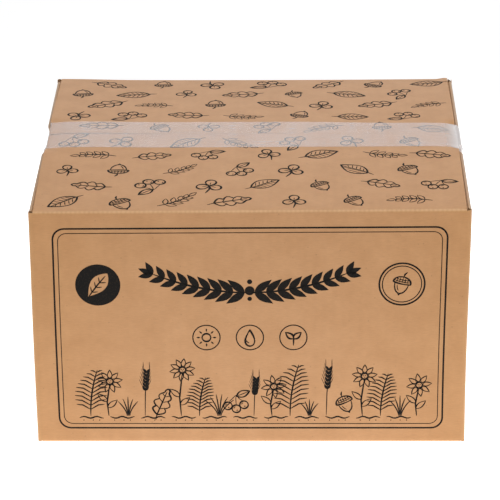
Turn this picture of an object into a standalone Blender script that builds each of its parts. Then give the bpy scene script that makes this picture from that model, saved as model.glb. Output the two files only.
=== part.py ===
"""Closed and taped corrugated carton, folded from one cut and creased blank.

Metres, +Z up, origin at the centre of the base. The front wall faces -Y.
"""
import math

import bmesh
import bpy

# Driving dimensions of the folded carton, outside sizes in metres.
WIDTH = 0.300            # left wall to right wall
DEPTH = 0.258            # front wall to rear wall
CREASE_HEIGHT = 0.1765   # floor to the top creases of the front and rear walls
BOARD = 0.003            # single-wall B-flute board
FIT_GAP = 0.0003         # clearance between touching layers

# The long flaps where they meet.
TOP_RISE = 0.0059        # the lid is tented up to the seam
BASE_STEP = 0.00075      # the base is pressed in under its tape, which stays off the floor
STEP_MARGIN = 0.001      # the pressed stretch is this much wider than the tape, each side
STEP_RUN = 0.004         # and runs out over this length
SEAM_GAP = 0.0016        # open slit between the free edges of the long flaps

# Creases: outer radius of the fold, and the small radius left on its inner side.
CREASE_RADIUS = 0.002
CORNER_RADIUS = 0.0016
INNER_RADIUS = 0.0006
ARC_STEPS = 3

# Slots cut between the flaps, measured in from the outer face of the next wall.
LONG_FLAP_INSET = 0.0022
LONG_FLAP_INSET_AT_TAB = 0.0019
OVERHANG_AT_TAB = 0.0025 # there the flap runs on past its wall, over the tab's fold
SHORT_FLAP_INSET = 0.0046
EAR_INSET = 0.0038       # end of the bit of wall left standing beside a slot
EAR_BEVEL = 0.001        # the crushed upper edge of that bit leans inward
FREE_EDGE_INSET = 0.0004 # cut edge of the right wall, short of the rear face
TAB_LENGTH = 0.035       # joint tab glued inside the right wall
TAB_TRIM = 0.0035        # the tab stops this far from the short flaps

# Packing tape along the top seam and the base seam.
TAPE_WIDTH = 0.050
TAPE_THICKNESS = 0.0003
TAPE_BEND = 0.0025
TAPE_TAIL = 0.055        # length of each tail down or up the side wall
TAPE_ARC_STEPS = 4

SHARP_ANGLE = math.radians(30)

FLAP_LENGTH = DEPTH / 2
LAYER = BOARD + FIT_GAP
SHORT_TOP_PLANE = CREASE_HEIGHT - LAYER
SHORT_BASE_PLANE = LAYER + BASE_STEP
HALF_WIDTH = WIDTH / 2
HALF_DEPTH = DEPTH / 2


def clear_scene():
    """Remove what the scene holds, so that the file starts empty."""
    for item in list(bpy.data.objects):
        bpy.data.objects.remove(item, do_unlink=True)


def make_material(name, colour, roughness):
    """Return a Principled material with one colour, not metallic."""
    material = bpy.data.materials.new(name)
    material.use_nodes = True
    shader = material.node_tree.nodes["Principled BSDF"]
    shader.inputs["Base Color"].default_value = (*colour, 1.0)
    shader.inputs["Roughness"].default_value = roughness
    shader.inputs["Metallic"].default_value = 0.0
    return material


def add_object(name, mesh_builder, material):
    """Turn a bmesh into a named object with outward faces."""
    bmesh.ops.recalc_face_normals(mesh_builder, faces=mesh_builder.faces)
    mesh = bpy.data.meshes.new(name)
    mesh_builder.to_mesh(mesh)
    mesh_builder.free()
    mesh.materials.append(material)
    mesh.shade_smooth()
    mesh.set_sharp_from_angle(angle=SHARP_ANGLE)
    item = bpy.data.objects.new(name, mesh)
    bpy.context.scene.collection.objects.link(item)
    return item


def fold_profile(fold_angle, radius):
    """Outer and inner points of a board fold, as (inset, drop) from the outer corner.

    The outer side is an arc of the given radius. The inner side is a small arc whose
    centre keeps the board at full thickness where the fold starts and where it ends.
    """
    across = BOARD - radius + INNER_RADIUS
    along = across * math.tan(fold_angle / 2)
    outer, inner = [], []
    for step in range(ARC_STEPS + 1):
        angle = fold_angle * step / ARC_STEPS
        cosine, sine = math.cos(angle), math.sin(angle)
        outer.append((radius - radius * cosine, radius - radius * sine))
        inner.append((radius + across - INNER_RADIUS * cosine,
                      radius + along - INNER_RADIUS * sine))
    return outer, inner


def sloping_flap_profile(rise, reach):
    """Profile of a wall's fold and its flap, from the wall to the flap's free edge.

    rise is how far the free edge stands out past the crease plane, and reach is how
    far in from the wall's outer face the free edge lies.
    """
    slope = math.atan2(rise, reach)
    fold_angle = math.pi / 2 - slope
    outer, inner = fold_profile(fold_angle, CREASE_RADIUS)
    last_inset, last_drop = outer[-1]
    run = reach - last_inset
    edge = (reach, last_drop - run * math.tan(slope))
    outer.append(edge)
    inner.append((edge[0] + BOARD * math.sin(slope), edge[1] + BOARD * math.cos(slope)))
    return outer, inner


def stepped_flap_profile(step, reach):
    """Profile of a flat flap that is pressed in by a small step under the tape."""
    outer, inner = fold_profile(math.pi / 2, CREASE_RADIUS)
    pressed = HALF_DEPTH - TAPE_WIDTH / 2 - STEP_MARGIN
    for inset, drop in ((pressed - STEP_RUN, 0.0), (pressed, step), (reach, step)):
        outer.append((inset, drop))
        inner.append((inset, drop + BOARD))
    return outer, inner


def wall_rows(top_profile, base_profile):
    """Heights of the outer and inner board faces at each horizontal line of the walls."""
    def crease_start(profile, plane, sign):
        outer, inner = profile
        return plane - sign * outer[0][1], plane - sign * inner[0][1]

    tab_base = SHORT_BASE_PLANE + BOARD + TAB_TRIM
    tab_top = SHORT_TOP_PLANE - BOARD - TAB_TRIM
    return {
        "long_base": crease_start(base_profile["long"], 0.0, -1),
        "ear_base": (SHORT_BASE_PLANE, SHORT_BASE_PLANE + EAR_BEVEL),
        "short_base": crease_start(base_profile["short"], SHORT_BASE_PLANE, -1),
        "tab_base": (tab_base, tab_base),
        "tab_top": (tab_top, tab_top),
        "short_top": crease_start(top_profile["short"], SHORT_TOP_PLANE, 1),
        "ear_top": (SHORT_TOP_PLANE, SHORT_TOP_PLANE - EAR_BEVEL),
        "long_top": crease_start(top_profile["long"], CREASE_HEIGHT, 1),
    }


def corner_lines(centre, start_angle):
    """Plan points of a vertical fold: outer arc and inner arc, turning clockwise."""
    across = BOARD - CORNER_RADIUS + INNER_RADIUS
    middle = start_angle - math.pi / 4
    inner_centre = (centre[0] - across * math.sqrt(2) * math.cos(middle),
                    centre[1] - across * math.sqrt(2) * math.sin(middle))
    lines = []
    for step in range(ARC_STEPS + 1):
        angle = start_angle - math.pi / 2 * step / ARC_STEPS
        way = (math.cos(angle), math.sin(angle))
        lines.append({
            "outer": (centre[0] + CORNER_RADIUS * way[0], centre[1] + CORNER_RADIUS * way[1]),
            "inner": (inner_centre[0] + INNER_RADIUS * way[0],
                      inner_centre[1] + INNER_RADIUS * way[1]),
            "normal": way,
        })
    return lines


def panel_lines(start, end, normal, insets):
    """Plan points along a flat panel, each at a distance from its start or its end.

    A negative inset counts back from the end. Near a corner the inner point lies
    further along than the outer one, clear of the board of the next wall.
    """
    length = math.hypot(end[0] - start[0], end[1] - start[1])
    way = ((end[0] - start[0]) / length, (end[1] - start[1]) / length)
    lines = []
    for outer_inset, inner_inset in insets:
        outer, inner = [
            (start[0] + way[0] * travel, start[1] + way[1] * travel)
            for travel in (inset if inset >= 0 else length + inset
                           for inset in (outer_inset, inner_inset))
        ]
        lines.append({
            "outer": outer,
            "inner": (inner[0] - BOARD * normal[0], inner[1] - BOARD * normal[1]),
            "normal": normal,
        })
    return lines


class Blank:
    """The folded sheet, as columns of cells between vertical lines and rows.

    Every vertical line has a plan point on the outer and on the inner board face, and
    every column between two lines runs over some of the wall rows and may end in flaps.
    A line with an overhang carries its flaps' end that far past its place on the wall,
    reached evenly over the fold outside and where the fold ends inside.
    """

    ROWS = ["long_base", "ear_base", "short_base", "tab_base",
            "tab_top", "short_top", "ear_top", "long_top"]
    ROWS_LEFT_OUT = {"long": 0, "ear": 1, "short": 2, "tab": 3}

    def __init__(self, rows, profiles):
        self.rows = rows
        self.profiles = profiles
        self.lines = []
        self.cells = []

    def add(self, lines, columns):
        """Append vertical lines, each with the kind of column that ends at it."""
        for line, column in zip(lines, columns):
            self.lines.append(line)
            if column:
                self.add_column(len(self.lines) - 2, *column.split())

    def add_column(self, number, kind, flaps=""):
        """Fill the cells between one line and the next, with flaps above and below."""
        left_out = self.ROWS_LEFT_OUT[kind]
        rows = self.ROWS[left_out:len(self.ROWS) - left_out]
        if flaps:
            for name, wall_row in ((kind + "_top_flap", rows[-1]), (kind + "_base_flap", rows[0])):
                steps = len(self.profiles[name][1][0])
                chain = [wall_row] + [(name, step) for step in range(1, steps)]
                for lower, upper in zip(chain, chain[1:]):
                    self.cells.append((number, number + 1, lower, upper))
        for lower, upper in zip(rows, rows[1:]):
            self.cells.append((number, number + 1, lower, upper))

    def point(self, number, row, side):
        """Where a line meets a row, on the outer or the inner face of the board."""
        line = self.lines[number]
        if row in self.rows:
            height = self.rows[row][0 if side == "outer" else 1]
            return (*line[side], height)
        name, step = row
        plane, profile, sign = self.profiles[name]
        inset, drop = profile[0 if side == "outer" else 1][step]
        corner = line["outer"]
        normal = line["normal"]
        fold_share = min(step / ARC_STEPS, 1.0)
        if side == "inner":
            fold_share = int(fold_share)
        past_end = line.get("overhang", 0.0) * fold_share
        return (corner[0] - normal[0] * inset + normal[1] * past_end,
                corner[1] - normal[1] * inset - normal[0] * past_end,
                plane - sign * drop)

    def build(self):
        """Make both faces of the sheet, and close them along every free edge."""
        builder = bmesh.new()
        vertices = {}

        def vertex(number, row, side):
            key = (number, row, side)
            if key not in vertices:
                vertices[key] = builder.verts.new(self.point(number, row, side))
            return vertices[key]

        edge_uses = {}
        for first, second, lower, upper in self.cells:
            loop = [(first, lower), (second, lower), (second, upper), (first, upper)]
            for side in ("outer", "inner"):
                builder.faces.new([vertex(*corner, side) for corner in loop])
            for one, two in zip(loop, loop[1:] + loop[:1]):
                edge_uses.setdefault(frozenset((one, two)), []).append((one, two))
        for uses in edge_uses.values():
            if len(uses) == 1:
                one, two = uses[0]
                builder.faces.new([vertex(*one, "outer"), vertex(*two, "outer"),
                                   vertex(*two, "inner"), vertex(*one, "inner")])
        return builder


def make_carton(material):
    """Fold the blank: right, front, left and rear wall, then the joint tab."""
    long_reach = HALF_DEPTH - SEAM_GAP / 2
    short_flap_fold = sloping_flap_profile(0.0, FLAP_LENGTH)
    top = {"long": sloping_flap_profile(TOP_RISE, long_reach), "short": short_flap_fold}
    base = {"long": stepped_flap_profile(BASE_STEP, long_reach), "short": short_flap_fold}
    blank = Blank(wall_rows(top, base), {
        "long_top_flap": (CREASE_HEIGHT, top["long"], 1),
        "long_base_flap": (0.0, base["long"], -1),
        "short_top_flap": (SHORT_TOP_PLANE, top["short"], 1),
        "short_base_flap": (SHORT_BASE_PLANE, base["short"], -1),
    })
    tab_face = HALF_WIDTH - LAYER
    rear_right = (HALF_WIDTH, HALF_DEPTH)
    front_right = (HALF_WIDTH, -HALF_DEPTH)
    front_left = (-HALF_WIDTH, -HALF_DEPTH)
    rear_left = (-HALF_WIDTH, HALF_DEPTH)
    rear_tab = (tab_face, HALF_DEPTH)

    ear = (EAR_INSET, EAR_INSET)
    short_flap = (SHORT_FLAP_INSET, SHORT_FLAP_INSET)
    long_flap = (LONG_FLAP_INSET, EAR_INSET)
    tab_flap = (LONG_FLAP_INSET_AT_TAB, EAR_INSET)
    free_edge = (FREE_EDGE_INSET, FREE_EDGE_INSET)

    def from_end(inset):
        return (-inset[0], -inset[1])

    short_end = [short_flap, ear]
    short_insets = [ear, short_flap] + [from_end(inset) for inset in short_end]
    short_columns = ["ear", "short", "short flaps", "short"]
    corner_columns = ["ear"] * (ARC_STEPS + 1)
    corner = CORNER_RADIUS
    long_columns = ["long", "long flaps"]

    blank.add(panel_lines(rear_right, front_right, (1, 0), [free_edge] + short_insets),
              ["", "ear"] + short_columns[1:])
    blank.add(corner_lines((HALF_WIDTH - corner, -HALF_DEPTH + corner), 0.0), corner_columns)
    blank.add(panel_lines(front_right, front_left, (0, -1), [long_flap, from_end(long_flap)]),
              long_columns)
    blank.add(corner_lines((-HALF_WIDTH + corner, -HALF_DEPTH + corner), -math.pi / 2),
              ["long"] + corner_columns[1:])
    blank.add(panel_lines(front_left, rear_left, (-1, 0), short_insets), short_columns)
    blank.add(corner_lines((-HALF_WIDTH + corner, HALF_DEPTH - corner), math.pi), corner_columns)
    rear_lines = panel_lines(rear_left, rear_tab, (0, 1), [long_flap, from_end(tab_flap)])
    rear_lines[-1]["overhang"] = OVERHANG_AT_TAB
    blank.add(rear_lines, long_columns)
    blank.add(corner_lines((tab_face - corner, HALF_DEPTH - corner), math.pi / 2),
              ["long"] + ["tab"] * ARC_STEPS)
    tab_root = (tab_face, -HALF_DEPTH)
    blank.add(panel_lines(rear_tab, tab_root, (1, 0), [(TAB_LENGTH, TAB_LENGTH)]), ["tab"])
    return add_object("carton", blank.build(), material)


def tape_path(seam_height, sign):
    """Inner-face points of a tape over the seam and along both side walls.

    sign is +1 for the top tape, whose tails hang down, and -1 for the base tape.
    """
    face = HALF_WIDTH + FIT_GAP
    level = seam_height + sign * FIT_GAP
    half = [(0.0, level, 0.0, 1.0)]
    for step in range(TAPE_ARC_STEPS + 1):
        angle = math.pi / 2 * (1 - step / TAPE_ARC_STEPS)
        half.append((face - TAPE_BEND + TAPE_BEND * math.cos(angle),
                     level - sign * TAPE_BEND * (1 - math.sin(angle)),
                     math.cos(angle), math.sin(angle)))
    half.append((face, level - sign * (TAPE_BEND + TAPE_TAIL), 1.0, 0.0))
    left = [(-x, z, -nx, nz) for x, z, nx, nz in reversed(half[1:])]
    return [(x, z, nx, sign * nz) for x, z, nx, nz in left + half]


def make_tape(name, seam_height, rise, sign, material):
    """A tape strip that follows the two slopes of the long flaps."""
    slope = rise / (HALF_DEPTH - SEAM_GAP / 2)
    builder = bmesh.new()
    sections = []
    for x, z, normal_x, normal_z in tape_path(seam_height, sign):
        section = []
        for depth, across in ((0.0, -1), (0.0, 0), (0.0, 1), (TAPE_THICKNESS, 1),
                              (TAPE_THICKNESS, 0), (TAPE_THICKNESS, -1)):
            y = across * TAPE_WIDTH / 2
            section.append(builder.verts.new((x + normal_x * depth, y,
                                              z + normal_z * depth - sign * abs(y) * slope)))
        sections.append(section)
    count = len(sections[0])
    for before, after in zip(sections, sections[1:]):
        for corner in range(count):
            following = (corner + 1) % count
            builder.faces.new([before[corner], before[following],
                               after[following], after[corner]])
    for section in (sections[0], sections[-1]):
        builder.faces.new([section[0], section[1], section[4], section[5]])
        builder.faces.new([section[1], section[2], section[3], section[4]])
    return add_object(name, builder, material)


def main():
    """Build the carton and its two tapes."""
    clear_scene()
    kraft = make_material("brown kraft corrugated board", (0.53, 0.30, 0.14), 0.9)
    film = make_material("frosted polypropylene packing tape", (0.57, 0.48, 0.42), 0.45)
    make_carton(kraft)
    make_tape("top_tape", CREASE_HEIGHT + TOP_RISE, TOP_RISE, 1, film)
    make_tape("base_tape", BASE_STEP, 0.0, -1, film)


main()
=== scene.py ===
import math

import bpy
import numpy as np
from mathutils import Matrix, Vector


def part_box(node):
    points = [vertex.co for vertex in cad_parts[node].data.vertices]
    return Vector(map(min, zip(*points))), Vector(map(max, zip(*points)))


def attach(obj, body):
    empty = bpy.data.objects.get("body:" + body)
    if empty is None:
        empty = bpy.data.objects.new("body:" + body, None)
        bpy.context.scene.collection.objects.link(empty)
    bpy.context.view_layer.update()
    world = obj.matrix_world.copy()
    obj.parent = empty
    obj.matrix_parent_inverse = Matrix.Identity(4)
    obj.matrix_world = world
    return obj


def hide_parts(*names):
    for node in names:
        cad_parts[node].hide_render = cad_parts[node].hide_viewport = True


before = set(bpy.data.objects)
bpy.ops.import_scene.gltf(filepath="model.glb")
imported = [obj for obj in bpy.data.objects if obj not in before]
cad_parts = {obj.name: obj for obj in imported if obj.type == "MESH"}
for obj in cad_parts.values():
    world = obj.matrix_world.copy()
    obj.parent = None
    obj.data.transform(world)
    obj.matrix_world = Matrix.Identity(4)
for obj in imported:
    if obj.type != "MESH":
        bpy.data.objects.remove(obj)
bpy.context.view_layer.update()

# The viewpoint. A long lens stands nearly square to the front wall and looks down on
# the lid. The angles and the distance are solved from the carton's six visible corners.
AZIMUTH = math.radians(1.04)
ELEVATION = math.radians(24.09)
ROLL = math.radians(-0.49)
LENS = 191.66                       # millimetres
SENSOR = 36.0
DISTANCE = 1.9557
AIM_POINT = Vector((0.0, 0.0, 0.0882))
AIM_RIGHT = 0.0024                  # how far the aim point lies right of the picture's middle
AIM_UP = -0.0021

back = Vector((math.sin(AZIMUTH) * math.cos(ELEVATION),
               -math.cos(AZIMUTH) * math.cos(ELEVATION),
               math.sin(ELEVATION)))
level = Vector((math.cos(AZIMUTH), math.sin(AZIMUTH), 0.0))
upright = back.cross(level)
right = level * math.cos(ROLL) + upright * math.sin(ROLL)
up = upright * math.cos(ROLL) - level * math.sin(ROLL)
camera_data = bpy.data.cameras.new("camera")
camera_data.lens = LENS
camera_data.sensor_width = SENSOR
camera_data.clip_end = 50.0
camera = bpy.data.objects.new("camera", camera_data)
eye = AIM_POINT - right * AIM_RIGHT - up * AIM_UP + back * DISTANCE
camera.matrix_world = Matrix((
    (right.x, up.x, back.x, eye.x),
    (right.y, up.y, back.y, eye.y),
    (right.z, up.z, back.z, eye.z),
    (0.0, 0.0, 0.0, 1.0),
))
bpy.context.scene.collection.objects.link(camera)
bpy.context.scene.camera = camera

# The carton. One sheet of single-wall B-flute corrugated board, two brown kraft liners
# glued to a fluted medium. It is die-cut and creased flat, folded round four corners,
# glued along a tab inside the right wall, and closed by four flaps above and four below.
carton_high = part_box("carton")[1]
HALF_WIDTH = carton_high.x
WIDTH = 2 * HALF_WIDTH
BOARD = 0.003
LAYER = BOARD + 0.0003              # one thickness of board and the gap to its neighbour
HALF_DEPTH = 0.129
DEPTH = 2 * HALF_DEPTH
CREASE_HEIGHT = 0.1765              # floor to the creases of the front and rear lid flaps
TOP_RISE = carton_high.z - CREASE_HEIGHT
BASE_STEP = 0.00075                 # the base flaps are pressed in this far under the tape
BASE_STEP_FROM = 0.099              # from here in, measured from the wall
BASE_STEP_RUN = 0.004
SHORT_TOP = CREASE_HEIGHT - LAYER   # the side flaps fold one layer further in
SHORT_BASE = LAYER + BASE_STEP
SEAM_GAP = 0.0016
FOLD_RADIUS = 0.002
CORNER_RADIUS = 0.0016
INNER_RADIUS = 0.0006
OVERHANG_AT_TAB = 0.0025            # the rear flaps run on past their wall, over the tab
SHORT_FLAP_INSET = 0.0046
EAR_INSET = 0.0038                  # end of the bit of wall left standing beside a slot
FREE_EDGE_INSET = 0.0004
TAB_LENGTH = 0.035
TAB_TRIM = 0.0035
SPREAD = 0.010                      # board squeezed aside by a fold evens out over this
CORNER_EASES = 0.006                # and at a corner it does so this far past the flap's fold
OVERHANG_LAG = 3                    # how much later in the fold the inner face runs on
TOLERANCE = 1e-6

# Where the walls start along the sheet: right, front, left, rear, then the tab.
WALL_STARTS = np.cumsum([0.0, DEPTH - FREE_EDGE_INSET, WIDTH, DEPTH, WIDTH - LAYER, TAB_LENGTH])
WALL_CORNERS = np.array([
    (HALF_WIDTH, HALF_DEPTH - FREE_EDGE_INSET),
    (HALF_WIDTH, -HALF_DEPTH),
    (-HALF_WIDTH, -HALF_DEPTH),
    (-HALF_WIDTH, HALF_DEPTH),
    (HALF_WIDTH - LAYER, HALF_DEPTH),
])
RIGHT_WALL, FRONT_WALL, LEFT_WALL, REAR_WALL, GLUE_TAB = range(5)
# How far in from its wall's first and last corner each long flap is cut off.
FLAP_ENDS = {FRONT_WALL: (0.0034, 0.0032), REAR_WALL: (0.0032, 0.0027)}
FLAP_REACH = HALF_DEPTH - SEAM_GAP / 2
LID_ANGLE = math.pi / 2 - math.atan2(TOP_RISE, FLAP_REACH)


def fade(distance, run):
    """Give 1 up to zero distance, falling evenly to 0 at run."""
    return np.clip(1 - distance / run, 0, 1)


def ramp(value, start, full):
    """Rise from 0 at start to 1 at full: three squares less two cubes of the share between."""
    share = np.clip((value - start) / (full - start), 0, 1)
    return share * share * (3 - 2 * share)


def hump(value, centre, half_width):
    """Bell of height 1: e to the minus square of the distance over its half width."""
    return np.exp(-((value - centre) / half_width) ** 2)


def plan(along, depth, keep):
    """Plan place and outward direction of points of the walls.

    A wall point is its wall's start, plus the wall's direction times how far along it
    lies, less the outward direction times its depth in the board. Round a corner it is
    an arc whose radius shrinks with depth. Beside a corner the deeper layers are pushed
    along the wall, by what the arc's centre moved, fading over SPREAD. keep is the share
    of that push that is left.
    """
    along, depth, keep = np.broadcast_arrays(along, depth, keep)
    place = np.zeros(along.shape + (2,))
    heading = np.zeros(along.shape)
    radius = CORNER_RADIUS + (INNER_RADIUS - CORNER_RADIUS) * depth / BOARD
    pushed = (depth - CORNER_RADIUS + radius) * keep
    last = len(WALL_CORNERS) - 1
    for wall, corner in enumerate(WALL_CORNERS):
        turn = -math.pi / 2 * wall
        way = np.array((math.sin(turn), -math.cos(turn)))
        out = np.array((math.cos(turn), math.sin(turn)))
        start, end = WALL_STARTS[wall:wall + 2]
        here = (along >= start) & (along <= end)
        travel = along - start
        if wall > 0:
            travel = travel + pushed * fade(along - start - CORNER_RADIUS, SPREAD)
        if wall < last:
            travel = travel - pushed * fade(end - along - CORNER_RADIUS, SPREAD)
        straight = corner + travel[..., None] * way - depth[..., None] * out
        place = np.where(here[..., None], straight, place)
        heading = np.where(here, turn, heading)
    for wall in range(1, last + 1):
        share = (along - WALL_STARTS[wall] + CORNER_RADIUS) / (2 * CORNER_RADIUS)
        bent = (share > 0) & (share < 1)
        turn = -math.pi / 2 * (wall - 1 + share)
        before = -math.pi / 2 * (wall - 1)
        inward = -np.array((math.cos(before) + math.sin(before),
                            math.sin(before) - math.cos(before)))
        arc = (WALL_CORNERS[wall] + (depth + radius)[..., None] * inward
               + radius[..., None] * np.stack((np.cos(turn), np.sin(turn)), -1))
        place = np.where(bent[..., None], arc, place)
        heading = np.where(bent, turn, heading)
    return place, np.stack((np.cos(heading), np.sin(heading)), -1)


def crease_fold(past, depth, angle):
    """How far in and how far down a point lies, from the outer corner of a crease.

    past is the distance on the flat sheet past the crease, negative on the wall. The
    wall is straight, the fold is an arc whose radius shrinks with depth, and the flap
    runs on straight at the fold's angle. On both sides the deeper layers lag by what the
    arc's centre moved, and make it up over SPREAD.
    """
    radius = FOLD_RADIUS + (INNER_RADIUS - FOLD_RADIUS) * depth / BOARD
    lag = (depth - FOLD_RADIUS + radius) * np.tan(angle / 2)
    turned = np.clip((past + FOLD_RADIUS) / (2 * FOLD_RADIUS), 0, 1) * angle
    inset = depth + radius - radius * np.cos(turned)
    drop = FOLD_RADIUS + lag - radius * np.sin(turned)
    wall = np.maximum(-past - FOLD_RADIUS, 0)
    drop = drop + wall - lag * (1 - fade(wall, SPREAD)) * (past < -FOLD_RADIUS)
    flap = np.maximum(past - FOLD_RADIUS, 0)
    run = flap - lag * (1 - fade(flap, SPREAD)) * (past > FOLD_RADIUS)
    return inset + np.sin(angle) * run, drop - np.cos(angle) * run


# How this carton departs from true, in metres. It has been packed, taped and handled.
# A pair named OVER gives the place where a shift starts and the place where it is full.
LEAN = -0.0006                      # both side walls stand this far to the left half-way up
RIGHT_SPLAY = 0.00065               # the right wall leans out at its top and in at its base
RIGHT_RETURN = 0.00026              # but comes back by this at the very top
LEFT_SPLAY = 0.0006                 # the left wall leans out at its top
LEFT_SPLAY_REAR = 0.00024           # and by this much more at its rear
LEFT_FOOT = 0.0006                  # the side walls spread a little at the floor
RIGHT_FOOT = 0.00035
WALL_BOW = 0.0005
FRONT_CREASE_RISE = 0.0007
FRONT_CREASE_TILT = 0.0008          # the front crease is low on the left, high on the right
REAR_CREASE_SAG = 0.0006
REAR_LEFT_RISE = 0.0007             # and both its ends stand up
REAR_LEFT_OVER = (-0.085, -0.145)
REAR_RIGHT_RISE = 0.0009
REAR_RIGHT_AT = 0.1445
REAR_RIGHT_WIDTH = 0.004
CREST_RISE = 0.0023                 # the side flaps' folds stand proud beside the long flaps
CREST_WIDTH = 0.0036
CREST_DEPTH = 0.016                 # the wall is drawn up with them from this far below
CREST_FLATTENED = 0.8               # by this share where the left crest is pinched
LID_BULGE = 0.0009                  # each lid flap is a little rounded
BULGE_POWER = 0.8                   # with its crown a little nearer the crease than the seam
SEAM_CLOSED = 0.0005                # each flap nears the other by this, but for the left end
SEAM_CLOSED_OVER = (-0.105, -0.055)
REAR_PRESSED = 0.0018               # the rear flap's edge is pressed down towards the right
REAR_PRESSED_OVER = (0.02, 0.11)
LEFT_LIFTED = 0.0007                # both flaps' edges stand a little high at the left
LEFT_LIFTED_OVER = (-0.06, -0.12)
TAPE_REACH = 0.027                  # the tape pulls the board this far either side of the seam
CRUSH_OVER = (0.031, 0.023)         # and crushes the flaps' ends, counted from the seam
CRUSH_LEFT = [(0.0012, 0.010)]      # bells over the distance from the end: depth, half width
CRUSH_RIGHT = [(0.0018, 0.0045), (0.0006, 0.016)]
LEFT_TUCK = 0.0009                  # and shortens their left ends
LEFT_TUCK_LENGTH = 0.02
TUCK_REAR_OVER = (TAPE_REACH, 0.022)
TUCK_FRONT_OVER = (-0.034, -0.024)
LEFT_PINCH = 0.0031                 # the side crests are pulled in under the tape
LEFT_PINCH_REAR_OVER = (0.033, 0.026)
LEFT_PINCH_FRONT_OVER = (-0.020, -0.008)
LEFT_DROP = 0.4                     # and down, by this share of how far they go in
PINCH_SPREAD = 2.2                  # the left pinch runs out wider to the rear, this much a drop
PINCH_WALL = 0.014                  # the pinch is this deep in the wall, half width
PINCH_FLAP = 0.03                   # and reaches this far along the flap
RIGHT_PINCH = 0.0029
RIGHT_PINCH_FRONT_OVER = (-0.0215, -0.0145)
RIGHT_PINCH_REAR_OVER = (0.002, -0.009)
RIGHT_DROP = 0.5


def right_pinch(y):
    """How far in the right crest is pulled: one ramp up from the front, one down to the rear."""
    return RIGHT_PINCH * ramp(y, *RIGHT_PINCH_FRONT_OVER) * ramp(y, *RIGHT_PINCH_REAR_OVER)


def bells(distance, shapes):
    """Sum of bells about zero distance, from pairs of a height and a half width."""
    return sum(height * hump(distance, 0, half_width) for height, half_width in shapes)


def departures(place, out, flap_run, lid, side):
    """Small shifts of the true shape: bowed walls, tilted creases and pulled-in ends.

    Every shift is a product of bells, ramps, half waves and powers over the carton's
    sides. A high power of the height or of the way to the seam keeps it near the top or
    the seam. flap_run is the distance past the crease, lid marks the upper half of the
    sheet and side the sheet's side walls and their flaps.
    """
    x, y, z = place[..., 0], place[..., 1], place[..., 2]
    height = np.clip(z / CREASE_HEIGHT, 0, 1)
    half_wave = np.sin(math.pi * height)
    on_wall = flap_run < 0
    across = np.where(side, y / HALF_DEPTH, x / HALF_WIDTH)
    bow = WALL_BOW * half_wave * (1 - across ** 2) * on_wall
    shift = np.concatenate((out * bow[..., None], np.zeros(x.shape + (1,))), -1)
    shift[..., 0] += LEAN * half_wave
    rearward = (y + HALF_DEPTH) / DEPTH
    right_lean = -RIGHT_SPLAY * np.cos(math.pi * height) - RIGHT_RETURN * height ** 8
    left_lean = -(LEFT_SPLAY + LEFT_SPLAY_REAR * rearward) * height ** 6
    foot = np.where(x > 0, RIGHT_FOOT, -LEFT_FOOT) * (1 - height)
    shift[..., 0] += (np.where(x > 0, right_lean, left_lean) + foot) * np.abs(x / HALF_WIDTH)

    tilt = (FRONT_CREASE_RISE + FRONT_CREASE_TILT * x / HALF_WIDTH) * (1 - rearward)
    ends = (REAR_LEFT_RISE * ramp(x, *REAR_LEFT_OVER)
            + REAR_RIGHT_RISE * hump(x, REAR_RIGHT_AT, REAR_RIGHT_WIDTH) * (1 - on_wall))
    sag = -REAR_CREASE_SAG * (1 - (x / HALF_WIDTH) ** 2) * rearward + ends * rearward ** 4
    shift[..., 2] += (tilt + sag) * height ** 2

    on_lid = lid & ~side & ~on_wall
    reach = np.clip((HALF_DEPTH - np.abs(y)) / FLAP_REACH, 0, 1)
    from_end = HALF_WIDTH - np.where(x > 0, *FLAP_ENDS[FRONT_WALL]) - np.abs(x)
    crushed = np.where(x > 0, bells(from_end, CRUSH_RIGHT), bells(from_end, CRUSH_LEFT))
    bulge = LID_BULGE * np.sin(math.pi * reach ** BULGE_POWER)
    shift[..., 2] += on_lid * (bulge - crushed * ramp(np.abs(y), *CRUSH_OVER))
    closer = SEAM_CLOSED * ramp(x, *SEAM_CLOSED_OVER) * reach ** 8
    shift[..., 1] -= on_lid * closer * np.sign(y)
    pressed = np.where(y > 0, REAR_PRESSED, 0.0) * ramp(x, *REAR_PRESSED_OVER)
    lifted = LEFT_LIFTED * ramp(x, *LEFT_LIFTED_OVER)
    shift[..., 2] += on_lid * (lifted - pressed) * reach ** 1.5
    tucked = ramp(y, *TUCK_REAR_OVER) * ramp(y, *TUCK_FRONT_OVER) * (x < 0)
    shift[..., 0] += on_lid * LEFT_TUCK * tucked * fade(from_end, LEFT_TUCK_LENGTH)

    near_crest = np.where(on_wall, hump(z, SHORT_TOP, PINCH_WALL), fade(flap_run, PINCH_FLAP))
    near_crest = near_crest * lid * side
    wider = PINCH_SPREAD * np.maximum(SHORT_TOP - z, 0) * on_wall
    pinch_start, pinch_full = LEFT_PINCH_REAR_OVER
    left = ramp(y, pinch_start + wider, pinch_full) * ramp(y, *LEFT_PINCH_FRONT_OVER)
    right_in = right_pinch(y)
    shift[..., 0] += near_crest * np.where(x < 0, LEFT_PINCH * left, -right_in)
    shift[..., 2] -= near_crest * np.where(x < 0, LEFT_DROP * LEFT_PINCH * left,
                                           RIGHT_DROP * right_in)
    proud = ramp(HALF_WIDTH - np.abs(x), CREST_WIDTH, CREST_WIDTH / 2)
    proud = proud * ramp(SHORT_TOP - z, CREST_DEPTH, FOLD_RADIUS) * lid * side
    shift[..., 2] += CREST_RISE * proud * np.where(x < 0, 1 - CREST_FLATTENED * left, 1.0)
    return shift


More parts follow.
